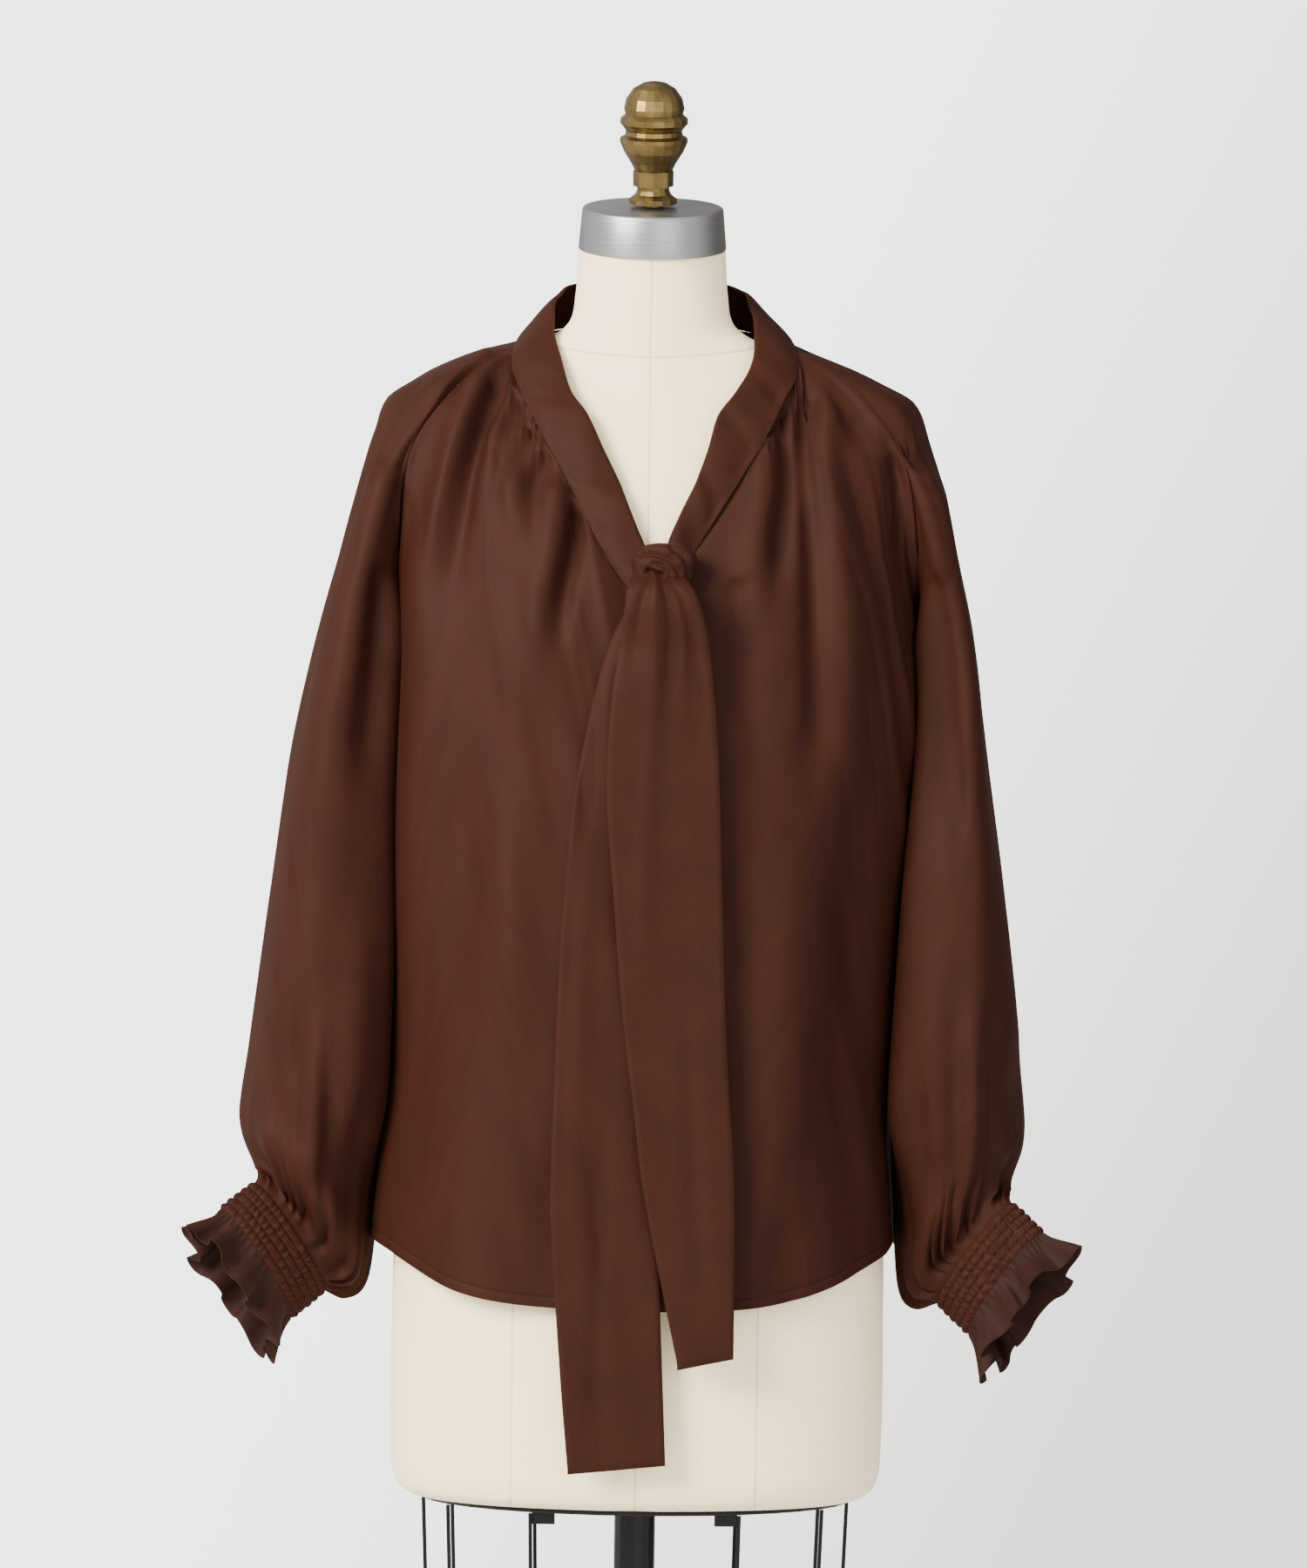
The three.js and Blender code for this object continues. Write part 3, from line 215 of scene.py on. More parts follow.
def satin(name, face, shade, roughness, sheen):
    """Woven satin: floats about 0.25 mm wide, drawn 1 mm wide so that they show."""
    material, tree, surface = new_material(name)
    flat = add_node(tree, "ShaderNodeUVMap", uv_map="cloth").outputs[0]
    floats = noise(tree, stretched(tree, flat, (1000, 90, 1)), 1.0, 2.0)
    patches = noise(tree, flat, 22.0, 3.0)
    crepe = noise(tree, flat, 900.0, 2.0)
    tone = ramp(tree, maths(tree, "ADD", floats, patches), 0.7, 1.3)
    fill(tree, surface, {
        "Base Color": blend(tree, tone, shade, face),
        "Roughness": ramp(tree, floats, 0.3, 0.7, roughness - 0.05, roughness + 0.06),
        "Normal": relief(tree, maths(tree, "ADD", floats, crepe), 0.18, 0.0001),
        "Specular IOR Level": SATIN_SPECULAR, "Sheen Weight": sheen, "Sheen Roughness": 0.45,
        "Sheen Tint": linear(SATIN_SHEEN_TINT)})
    return material


# double or backed cloth of body, sleeves and tie
brown_satin = satin("brown crepe-back satin", "#2D140C", "#251009", 0.64, 0.02)
# the single layer of the ruffles: the light that comes through it is painted in, as a greyer colour
thin_satin = satin("single thin satin", "#291611", "#20110D", 0.64, 0.05)

# %% [markdown]
# ## The form's cover
# The cover is plain-woven linen, cut in panels and sewn tight over the padding. The weave is drawn
# in the form's own coordinates. Its seams lie in fine grooves, and a darker line is drawn in them.

# %% Linen
NECK_SEAM, NECK_SEAM_SLOPE = 1.405, 0.34
FORM_SEAMS = (0, -0.087, 0.084)
SEAM_LINE = (0.0003, 0.0011)

# plain weave: threads about 0.7 mm apart, drawn 1.6 mm apart so that they show
linen, tree, surface = new_material("natural linen")
place = add_node(tree, "ShaderNodeTexCoord").outputs["Object"]
weave = {"Vector": place, "Scale": 98.0, "Distortion": 1.2, "Detail": 2.0}
threads = [add_node(tree, "ShaderNodeTexWave", weave, bands_direction=axis).outputs["Fac"]
           for axis in "ZX"]
slubs = noise(tree, stretched(tree, place, (60, 60, 700)), 1.0, 3.0)
# the sewn seams show as fine darker lines
x, y, z = add_node(tree, "ShaderNodeSeparateXYZ", {0: place}).outputs
collar = maths(tree, "MULTIPLY_ADD", y, -NECK_SEAM_SLOPE, z)
clear = 1.0
for value, at in [(collar, NECK_SEAM)] + [(x, seam_at) for seam_at in FORM_SEAMS]:
    away = maths(tree, "ABSOLUTE", maths(tree, "SUBTRACT", value, at))
    clear = maths(tree, "MINIMUM", clear, ramp(tree, away, *SEAM_LINE))
fill(tree, surface, {
    "Base Color": blend(tree, clear, "#D9C8A2", blend(tree, slubs, "#F8E2B2", "#FFF0CD")),
    "Normal": relief(tree, maths(tree, "MULTIPLY", *threads), 0.25, 0.0002),
    "Roughness": 0.9, "Sheen Weight": 0.15})

# %% [markdown]
# ## Metals and enamel
# The stand's metals differ most in how they mirror: brushing spreads it in level lines, handling
# dulls brass in patches, and enamel is smooth but for a little orange peel.

# %% Metals and enamel
# aluminium turned and brushed round: fine level lines
aluminium, tree, surface = new_material("brushed aluminium")
place = add_node(tree, "ShaderNodeTexCoord").outputs["Object"]
brushing = noise(tree, stretched(tree, place, (6, 6, 1400)), 1.0, 4.0)
fill(tree, surface, {
    "Base Color": linear("#8D8E90"), "Metallic": 1.0,
    "Roughness": ramp(tree, brushing, 0.3, 0.7, 0.3, 0.46),
    "Normal": relief(tree, brushing, 0.15, 0.00005)})

# brass, satin and darkened in patches by handling
brass, tree, surface = new_material("satin brass")
place = add_node(tree, "ShaderNodeTexCoord").outputs["Object"]
stain = noise(tree, place, 90.0, 5.0)
fill(tree, surface, {
    "Base Color": blend(tree, ramp(tree, stain, 0.35, 0.65), "#5A4B2C", "#75633D"), "Metallic": 1.0,
    "Roughness": ramp(tree, stain, 0.3, 0.7, 0.42, 0.28)})

# black enamel with a little orange peel
enamel, tree, surface = new_material("gloss black enamel")
place = add_node(tree, "ShaderNodeTexCoord").outputs["Object"]
peel = noise(tree, place, 350.0, 2.0)
fill(tree, surface, {
    "Base Color": linear("#0B0B0D"), "Specular IOR Level": 0.2,
    "Roughness": ramp(tree, peel, 0.3, 0.7, 0.16, 0.26), "Normal": relief(tree, peel, 0.05, 0.0003)})
print("materials", len(bpy.data.materials))

# %% [markdown]
# ## The cut of the blouse
# The neck seam runs from the middle of the back to the bottom of the V, and each raglan seam from
# the armpit to the neck. The tables give their places in mm, and how wide and deep the cloth hangs
# at each height. Neighbouring pieces start from the same seams, so that they meet.


# %% Tables
def table(names, rows):
    """The columns of a small table by name. The first one says where each row stands."""
    return dict(zip(names.split(), np.array(rows, float).T))


def read(rows, name, at):
    """A column of a table between its rows, along a smooth curve."""
    keys = next(iter(rows.values()))
    values = rows[name]
    slopes = np.gradient(values)
    slopes[1:-1] = (values[2:] - values[:-2]) / (keys[2:] - keys[:-2])
    slopes[0] = (values[1] - values[0]) / (keys[1] - keys[0])
    slopes[-1] = (values[-1] - values[-2]) / (keys[-1] - keys[-2])
    k = np.clip(np.searchsorted(keys, at) - 1, 0, len(keys) - 2)
    span = keys[k + 1] - keys[k]
    t = np.clip((at - keys[k]) / span, 0, 1)
    return ((2 * t**3 - 3 * t**2 + 1) * values[k] + (t**3 - 2 * t**2 + t) * span * slopes[k]
            + (3 * t**2 - 2 * t**3) * values[k + 1] + (t**3 - t**2) * span * slopes[k + 1])


NECK = table("at left right y z fold_left fold_right fold_y fold_z", [
    (0.0, 0, 0, 74, 1420, 0, 0, 68, 1452), (1.0, 38, 40, 66, 1417, 33, 33, 61, 1450),
    (2.0, 72, 76, 45, 1411, 59, 61, 42, 1444), (3.0, 94, 100, 18, 1403, 68, 70, 14, 1434),
    (4.0, 98, 104, -20, 1393, 70, 74, -20, 1412), (5.0, 97, 103, -38, 1378, 63, 72, -44, 1388),
    (6.0, 88, 93, -57, 1358, 56, 60, -62, 1366), (7.0, 76, 82, -71, 1335, 44, 48, -74, 1349),
    (8.0, 62, 68, -83, 1311, 32, 41, -85, 1324), (9.0, 50, 54, -92, 1288, 20, 32, -95, 1299),
    (10.0, 32, 33, -104, 1254, 7, 17, -106, 1267), (11.0, 15, 16, -110, 1229, -3, 10, -111, 1245),
    (11.8, 0, 0, -113, 1218, -4, 4, -114, 1240)])
FRONT_CORNER, BACK_CORNER, V_BOTTOM, BAND_END = 4.0, 3.0, 11.8, 10.8
SIDE_NAME = {-1: "left", 1: "right"}
FRONT_RAGLAN = table("at left right y z body hang", [
    (0.0, 177, 199, 5, 1205, 0, 90), (0.15, 176, 195, -26, 1226, 20, 79),
    (0.3, 175, 190, -47, 1256, 35, 68.5), (0.5, 172, 184, -57, 1300, 47, 59.5),
    (0.65, 165, 174, -55, 1328, 50, 55), (0.78, 150, 158, -48, 1352, 52, 50.5),
    (0.9, 124, 130, -35, 1380, 55, 44.5), (1.0, 98, 104, -20, 1393, 58, 38)])
BACK_RAGLAN = table("at left right y z body hang", [
    (0.0, 177, 199, 5, 1205, 0, 90), (0.15, 174, 190, 46, 1228, 25, 72),
    (0.3, 168, 180, 68, 1262, 40, 58.5), (0.5, 158, 168, 82, 1308, 52, 47.5),
    (0.65, 146, 155, 80, 1342, 57, 43), (0.78, 130, 138, 66, 1368, 58, 39.5),
    (0.9, 112, 118, 44, 1390, 60, 36), (1.0, 94, 100, 18, 1403, 62, 32)])
BODY = table("z left right front back", [
    (700, 189, 183, 128, 129), (766, 187, 181, 128, 128), (850, 181, 175, 128, 126),
    (930, 179, 180, 128, 124), (1010, 178, 186, 128, 122), (1088, 178, 194, 129, 117),
    (1170, 177, 199, 129, 117), (1205, 177, 199, 127, 117), (1255, 175, 190, 119, 116),
    (1300, 172, 184, 106, 112), (1350, 160, 168, 84, 100), (1400, 140, 146, 56, 80),
    (1425, 125, 130, 44, 74)])
SLEEVE = table("z inner_left outer_left front_left inner_right outer_right front_right back", [
    (700, 189, 262, -60, 184, 255, -60, 96), (790, 188, 276, -68, 183, 268, -68, 102),
    (840, 185, 285, -74, 180, 275, -74, 104), (900, 183, 279, -76, 182, 271, -76, 104),
    (1000, 182, 267, -74, 190, 260, -74, 102), (1100, 182, 253, -70, 203, 245, -68, 98),
    (1162, 181, 240, -68, 205, 237, -62, 94), (1205, 180, 230, -66, 202, 230, -60, 92),
    (1249, 177, 217, -66, 193, 220, -62, 90), (1299, 170, 206, -64, 180, 210, -62, 86),
    (1336, 160, 200, -57, 165, 199, -56, 78), (1361, 145, 195, -48, 148, 191, -48, 66),
    (1373, 135, 180, -42, 138, 172, -42, 58), (1386, 118, 160, -34, 120, 148, -34, 46),
    (1398, 95, 130, -24, 98, 118, -24, 34), (1405, 80, 100, -18, 84, 104, -18, 26)])
WRIST = {-1: dict(at=(247, -36, 765), axis=(0.7, -0.45, -0.55), long=(-0.5, 0.2, -0.84)),
         1: dict(at=(238, -36, 760), axis=(0.66, -0.45, -0.6), long=(-0.42, 0.24, -0.875))}
HEM_FRONT, HEM_SIDE, SIDE_Y, ROUND = 725, 766, 5, 2.3
print("seam tables", len(NECK["at"]), len(FRONT_RAGLAN["at"]), len(BODY["z"]))


# %% [markdown]
# ## Seams and hanging shapes
# Cloth leaves its seam the way it was sewn and soon falls straight. So each line of it starts at a
# seam station and settles, by a fading shift, into the oval that the loose body or sleeve hangs in.


# %% Shared lines and directions
def unit(vectors):
    return vectors / np.maximum(np.linalg.norm(vectors, axis=-1, keepdims=True), 1e-9)


def ease(t):
    t = np.clip(t, 0, 1)
    return t * t * (3 - 2 * t)


def join(x, y, z):
    return np.stack(np.broadcast_arrays(x, y, z), -1).astype(float)


def neck_station(side, at):
    """The neck seam: its point, the folded edge above it, the way out of the cloth and across."""
    name = SIDE_NAME[side]

    def seam(place):
        return join(side * read(NECK, name, place), read(NECK, "y", place), read(NECK, "z", place))

    at = np.asarray(at, float)
    point = seam(at)
    edge = join(side * read(NECK, "fold_" + name, at), read(NECK, "fold_y", at),
                read(NECK, "fold_z", at))
    across = unit(edge - point)
    along = seam(np.clip(at + 0.05, 0, V_BOTTOM)) - seam(np.clip(at - 0.05, 0, V_BOTTOM))
    return point, edge, unit(np.cross(unit(along), across) * -side), across


def raglan_station(side, is_front, at):
    """The raglan seam: its point, the way towards the body, and where the cloth below it hangs."""
    rows = FRONT_RAGLAN if is_front else BACK_RAGLAN
    name = SIDE_NAME[side]

    def seam(place):
        return join(side * read(rows, name, place), read(rows, "y", place), read(rows, "z", place))

    along = unit(seam(np.clip(at + 0.02, 0, 1)) - seam(np.clip(at - 0.02, 0, 1)))
    point = seam(at)
    angle = np.radians(read(rows, "body", at))
    flat = 1 - 0.85 * ease((point[:, 2] - 1300) / 110)
    ahead = -1 if is_front else 1
    body = join(side * np.cos(angle) * flat, ahead * np.sin(angle) * flat, np.sqrt(1 - flat**2))
    return point, unit(np.cross(along, body)) * (-side if is_front else side), read(rows, "hang", at)


def body_point(angle, z, is_front):
    """A point of the hanging body: the angle goes from -90 at the left side by 0 in the middle."""
    width = np.where(angle < 0, read(BODY, "left", z), read(BODY, "right", z))
    depth = read(BODY, "front" if is_front else "back", z)
    sine = np.sin(np.radians(angle))
    cosine = np.abs(np.cos(np.radians(angle)))
    ahead = -1 if is_front else 1
    x = np.sign(sine) * width * np.abs(sine) ** (2 / ROUND)
    return join(x, SIDE_Y + ahead * (depth - ahead * SIDE_Y) * cosine ** (2 / ROUND), z)


def hang_lines(tops, point_at, ends, settle):
    """Fine lines that leave the seam and settle into the hanging shape."""
    z = tops[:, 2:] + (ends[:, None] - tops[:, 2:]) * np.linspace(0, 1, 141) ** 1.6
    lines = point_at(z)
    shift = tops - point_at(tops[:, 2:])[:, 0]
    fade = np.exp(-(tops[:, 2:] - z) / settle[:, None])
    lines[..., :2] += shift[:, None, :2] * fade[..., None]
    return lines


def resample(lines, spacing):
    """Points along each line at the distances that spacing(total) gives, and those distances."""
    points, runs = [], []
    for line in lines:
        run = np.concatenate([[0], np.cumsum(np.linalg.norm(np.diff(line, axis=0), axis=1))])
        at = spacing(run[-1])
        points.append(np.stack([np.interp(at, run, line[:, k]) for k in range(3)], -1))
        runs.append(at)
    return np.array(points), np.array(runs)


def outward(grid, is_tube):
    """The direction that the cloth faces at each point: the mean of the faces round it."""
    closed = np.concatenate([grid, grid[:1]]) if is_tube else grid
    faces = unit(np.cross(closed[1:, 1:] - closed[:-1, :-1], closed[1:, :-1] - closed[:-1, 1:]))
    total = np.zeros_like(closed)
    for i in (0, 1):
        for j in (0, 1):
            total[i:len(closed) - 1 + i, j:closed.shape[1] - 1 + j] += faces
    if is_tube:
        total[0] += total[-1]
        total = total[:-1]
    return unit(total)


# %% [markdown]
# ## Folds
# A crease is a soft trough, or a ridge where its depth is below zero, that runs along a drawn path,
# widens on its way and dies out. Gathers are small waves that stand at a seam and fade within a
# few centimetres. A slight unevenness keeps the cloth between them from looking like sheet metal.


# %% Creases, gathers and unevenness
SEAM_ZONE = 1215


def creased(x, z, creases):
    """How far the creases press into a surface at x, z, in mm. Those that start in the seam zone
    are nearly full at their start, and the others come in softly."""
    depth_at = np.zeros_like(x)
    for depth, width, grow, hold, path in creases:
        path = np.array(path, float)
        knots = np.linspace(0, 1, len(path))
        fine = np.stack([np.interp(np.linspace(0, 1, 41), knots, path[:, k]) for k in (0, 1)], -1)
        for _ in range(3):
            fine[1:-1] = (fine[:-2] + 2 * fine[1:-1] + fine[2:]) / 4
        start, step = fine[:-1], np.diff(fine, axis=0)
        near = np.full(x.shape, 1e9)
        run = np.zeros_like(x)
        for k in range(len(start)):
            ahead = (x - start[k, 0]) * step[k, 0] + (z - start[k, 1]) * step[k, 1]
            t = np.clip(ahead / step[k].dot(step[k]), 0, 1)
            gap = np.hypot(x - start[k, 0] - t * step[k, 0], z - start[k, 1] - t * step[k, 1])
            closer = gap < near
            near = np.where(closer, gap, near)
            run = np.where(closer, (k + t) / len(start), run)
        spread = width * (1 + grow * run)
        begin = ease(run / 0.06 + 0.25) if path[0, 1] > SEAM_ZONE else ease(run / 0.45)
        strength = begin * (1 - ease((run - hold) / (1.001 - hold)))
        depth_at += depth * strength * np.exp(-((near / spread) ** 2))
    return depth_at


def gathers(along, away, height, wave, reach, seed):
    """Small uneven waves across a seam: along it and away from it in mm."""
    rng = np.random.default_rng(seed)
    total = 0
    for share, stretch in ((0.5, 1.0), (0.35, 1.63), (0.3, 0.61)):
        bend = 0.9 * np.sin(along / (wave * rng.uniform(3, 6)) + rng.uniform(0, 6))
        total = total + share * np.sin(2 * np.pi * along / (wave * stretch) + bend + rng.uniform(0, 6))
    return height * total * np.exp(-away / reach) * ease(away / 5 + 0.25)


def uneven(across, down, wide, long, seed):
    """Slow unevenness from about -1 to 1, in patches of that width and length in mm."""
    rng = np.random.default_rng(seed)
    total = 0
    for _ in range(8):
        u, v = rng.uniform(0.5, 1.6) / wide, rng.uniform(-1.6, 1.6) / long
        total = total + np.sin(2 * np.pi * (across * u + down * v) + rng.uniform(0, 6.28))
    return total / 3.2


# %% [markdown]
# ## From a grid to a piece of cloth
# Each piece is laid out as columns that hang from its seam. The grid becomes a mesh with its flat
# coordinates as UVs, its doubles are merged and its faces turned outwards, and Solidify gives it a
# thickness inwards, so that the outside keeps its place. The tie, the form and its plate are closed
# bodies instead, laid through rings with a fan at each end.


# %% Cloth builder
def lengths(grid, axis):
    """How far each point lies along its column or row."""
    steps = np.linalg.norm(np.diff(grid, axis=axis), axis=-1)
    pad = [(0, 0), (0, 0)]
    pad[axis] = (1, 0)
    return np.cumsum(np.pad(steps, pad), axis=axis)


def activate(thing):
    bpy.ops.object.select_all(action="DESELECT")
    thing.select_set(True)
    bpy.context.view_layer.objects.active = thing


def apply_modifier(thing, kind, **settings):
    activate(thing)
    modifier = thing.modifiers.new("step", kind)
    for name, value in settings.items():
        setattr(modifier, name, value)
    bpy.ops.object.modifier_apply(modifier=modifier.name)


def smooth(thing, degrees):
    activate(thing)
    bpy.ops.object.shade_smooth_by_angle(angle=math.radians(degrees))


def make_mesh(name, points, faces, flat, material, is_closed):
    """A mesh from points in mm and flat coordinates in metres, with its faces turned outwards."""
    mesh = bpy.data.meshes.new(name)
    mesh.from_pydata((points * MM).tolist(), [], faces)
    mesh.uv_layers.new(name="cloth").data.foreach_set("uv", flat.reshape(-1))
    work = bmesh.new()
    work.from_mesh(mesh)
    work.faces.ensure_lookup_table()
    aim = work.faces[0].normal.copy()
    bmesh.ops.remove_doubles(work, verts=work.verts, dist=1e-7)
    bmesh.ops.recalc_face_normals(work, faces=work.faces)
    work.faces.ensure_lookup_table()
    if (work.calc_volume(signed=True) if is_closed else work.faces[0].normal.dot(aim)) < 0:
        bmesh.ops.reverse_faces(work, faces=work.faces)
    work.to_mesh(mesh)
    work.free()
    thing = bpy.data.objects.new(name, mesh)
    bpy.context.collection.objects.link(thing)
    thing.data.materials.append(material)
    return thing


def finish(thing, angle):
    smooth(thing, angle)
    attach(thing, "root")
    return thing


def cloth(name, grid, is_tube, material, thick):
    """A sheet of cloth from a grid of columns in mm, facing out and thickened inwards."""
    columns, rows = grid.shape[:2]
    count = columns if is_tube else columns - 1
    i, j = np.meshgrid(np.arange(count), np.arange(rows - 1), indexing="ij")
    n = (i + 1) % columns
    quads = np.stack([i * rows + j, i * rows + j + 1, n * rows + j + 1, n * rows + j], -1).reshape(-1, 4)
    closed = np.concatenate([grid, grid[:1]]) if is_tube else grid
    across = lengths(closed, 0).mean(axis=1)
    down = lengths(grid, 1)
    flat = np.stack([
        np.stack([across[i], across[i], across[i + 1], across[i + 1]], -1),
        np.stack([down[i, j], down[i, j + 1], down[n, j + 1], down[n, j]], -1)], -1) * MM
    thing = make_mesh(name, grid.reshape(-1, 3), quads.tolist(), flat, material, False)
    apply_modifier(thing, "SOLIDIFY", thickness=thick * MM, offset=-1, use_quality_normals=True)
    area = sum(p.area for p in thing.data.polygons) / 2
    print(name, len(thing.data.polygons), "quads, cloth", round(area, 3), "m2")
    return finish(thing, 55)


def solid(name, rings, material, angle=50):
    """A closed body through rings of points in mm, with a fan at each end."""
    count = len(rings[0])
    points = np.concatenate([rings.reshape(-1, 3), rings[[0, -1]].mean(1)])
    last = (len(rings) - 1) * count
    faces = []
    for k in range(len(rings) - 1):
        for i in range(count):
            n = (i + 1) % count
            faces.append((k * count + i, k * count + n, (k + 1) * count + n, (k + 1) * count + i))
    for i in range(count):
        n = (i + 1) % count
        faces += [(len(points) - 2, n, i), (len(points) - 1, last + i, last + n)]
    girth = lengths(rings[len(rings) // 2][None], 1)[0]
    run = lengths(rings[:, :1], 0)[:, 0]
    ring, place = np.divmod(np.minimum(np.concatenate(faces), last + count - 1), count)
    flat = np.stack([girth[place], run[ring]], -1) * MM
    thing = make_mesh(name, points, faces, flat, material, True)
    print(name, len(faces), "faces")
    return finish(thing, angle)


# %% [markdown]
# ## Front and back
# Each panel hangs from its raglan seams and the neck seam. The big creases of the front fall from
# the neckband and the right raglan seam; their places are drawn from the way the cloth is
# pulled by the tie. The hem is turned up 7 mm and topstitched, which shows as a shallow groove. The
# back has the same kind of folds, fewer and softer, since nothing pulls at it.

# %% Creases of the front, each with its depth, width, growth, hold and path in mm
FRONT_CREASES = [
    (12, 5, 1.4, 0.5, [(-101, 1388), (-111, 1359), (-121, 1331), (-127, 1306), (-131, 1285),
                       (-136, 1251), (-141, 1214), (-144, 1150)]),
    (-5, 5, 1.2, 0.4, [(-92, 1384), (-101, 1356), (-111, 1325), (-117, 1296), (-122, 1262)]),
    (-8, 10, 1.4, 0.7, [(-115, 1376), (-128, 1348), (-136, 1310), (-147, 1259), (-150, 1234),
                        (-151, 1172), (-152, 1130), (-159, 1021), (-163, 942), (-168, 880)]),
    (4, 6, 0.6, 0.4, [(-96, 1367), (-106, 1356), (-112, 1340)]),
    (4, 6, 0.6, 0.4, [(-88, 1357), (-98, 1342), (-104, 1325)]),
    (5, 6, 0.8, 0.4, [(-80, 1338), (-91, 1318), (-97, 1296)]),
    (5, 6, 0.8, 0.3, [(-70, 1322), (-80, 1298), (-85, 1272)]),
    (-3.5, 8, 1.0, 0.5, [(-86, 1340), (-92, 1309), (-97, 1275), (-101, 1235)]),
    (9, 4.5, 1.0, 0.5, [(-47, 1287), (-50, 1268), (-54, 1244), (-58, 1225), (-61, 1200), (-66, 1160)]),
    (-4, 8, 1.3, 0.5, [(-62, 1300), (-68, 1262), (-75, 1215), (-80, 1160), (-84, 1100)]),
    (-5, 15, 1.0, 0.6, [(-92, 1131), (-89, 1038), (-88, 961), (-86, 880)]),
    (4, 16, 0.8, 0.6, [(-121, 1140), (-122, 1060), (-126, 960), (-130, 860)]),
    (11, 5, 1.0, 0.6, [(90, 1358), (96, 1323), (97, 1297), (93, 1270), (91, 1245), (91, 1215)]),
    (-4, 9, 1.0, 0.5, [(80, 1335), (79, 1290), (76, 1240), (72, 1180)]),
    (7, 5, 1.6, 0.7, [(112, 1366), (109, 1341), (109, 1315), (113, 1280), (117, 1237),
                      (119, 1186), (121, 1150), (118, 1110), (117, 1060)]),
    (-5, 9, 1.4, 0.6, [(124, 1362), (124, 1310), (131, 1260), (138, 1200), (142, 1130), (142, 1040)]),
    (4, 6, 0.8, 0.5, [(138, 1366), (148, 1350), (158, 1330)]),
    (4, 6, 0.8, 0.5, [(130, 1374), (141, 1350), (150, 1322)]),
    (6, 12, 0.9, 0.7, [(175, 1325), (179, 1291), (183, 1256), (188, 1222), (190, 1188), (188, 1140)]),
    (5, 13, 0.9, 0.6, [(150, 1120), (152, 1030), (150, 930), (148, 840)]),
    (-4, 16, 0.9, 0.7, [(104, 1090), (100, 1000), (98, 900), (96, 800)]),
    (4, 9, 0.6, 0.5, [(60, 1235), (66, 1190), (72, 1130), (76, 1060)]),
    (-3, 14, 0.8, 0.6, [(-30, 1160), (-36, 1060), (-40, 940), (-40, 820)]),
    (4, 12, 0.8, 1.0, [(101, 800), (101, 763), (102, 727)]),
    (4, 14, 0.8, 1.0, [(-64, 850), (-62, 790), (-60, 727)]),
]
BACK_CREASES = [
    (7, 8, 1.2, 0.6, [(-62, 1395), (-76, 1330), (-88, 1250), (-98, 1150)]),
    (-4, 10, 1.4, 0.7, [(-40, 1400), (-48, 1300), (-56, 1180), (-60, 1000)]),
    (6, 7, 1.2, 0.5, [(-24, 1405), (-28, 1340), (-33, 1260), (-38, 1170)]),
    (-4, 11, 1.3, 0.8, [(0, 1405), (1, 1280), (3, 1120), (4, 940)]),
    (6, 8, 1.2, 0.6, [(26, 1405), (32, 1330), (40, 1240), (46, 1140)]),
    (-4, 10, 1.4, 0.7, [(46, 1400), (56, 1310), (66, 1200), (74, 1040)]),
    (7, 8, 1.2, 0.6, [(68, 1395), (84, 1320), (96, 1230), (104, 1130)]),
    (5, 15, 0.8, 0.7, [(-130, 1120), (-128, 1000), (-126, 860)]),
    (5, 15, 0.8, 0.7, [(126, 1120), (128, 1000), (128, 860)]),
    (4, 16, 0.8, 1.0, [(30, 900), (34, 810), (36, 727)]),
    (-4, 18, 0.8, 1.0, [(-66, 940), (-70, 830), (-72, 727)]),
]
SEAM_EASE = 0.06
RAGLAN_STEPS, NECK_STEPS, PANEL_ROWS = 56, 64, 138
CLOTH_THICK = 1.2
CREASE_GAIN = 1.35
# how far a fold can sink before it meets the form: over the shoulders, on the chest, lower down
ROOM = {True: (3.2, 11, 0), False: (3.2, 1.6, 9)}
NECK_GATHERS = (2.0, 9, 20)
HEM_WIDTH, TURN_UP, STITCH_DEPTH, STITCH_WIDTH = 7, 0.5, 0.55, 0.7
HEM_ROWS = np.array([2, 4, 4.6, 5.2, 6, 8, 10, 11.4, 12])


# %% [markdown]
# ## Laying a panel
# Lines of cloth fall from stations along the seams to the hem, so each one is as long as the cloth
# there. Creases press it in, but never as deep as the form below it, and gathers stand at the neck.


# %% Panels
def side_panel(is_front, side):
    """Half of a panel's stations: up the raglan seam, then along the neck seam to the middle."""
    corner, neck_end = (FRONT_CORNER, V_BOTTOM) if is_front else (BACK_CORNER, 0)
    at = np.linspace(0, 1, RAGLAN_STEPS + 1)
    point, to_body, hang = raglan_station(side, is_front, at)
    step = np.arange(1, NECK_STEPS + 1) / NECK_STEPS
    place = corner + (neck_end - corner) * step
    neck, _, _, across = neck_station(side, place)
    tops = np.concatenate([point + to_body * SEAM_EASE, neck - across * SEAM_EASE])
    angles = side * np.concatenate([hang, hang[-1] * (1 - step)])
    settles = np.concatenate([30 + 30 * at, 60 + 20 * ease(step * 5)])
    if is_front:
        window = ease((place - FRONT_CORNER) / 0.7) * (1 - ease((place - 6.6) / 1.6))
    else:
        window = ease((2.9 - place) / 0.6)
    return tops, angles, settles, np.concatenate([np.zeros(len(at)), window])


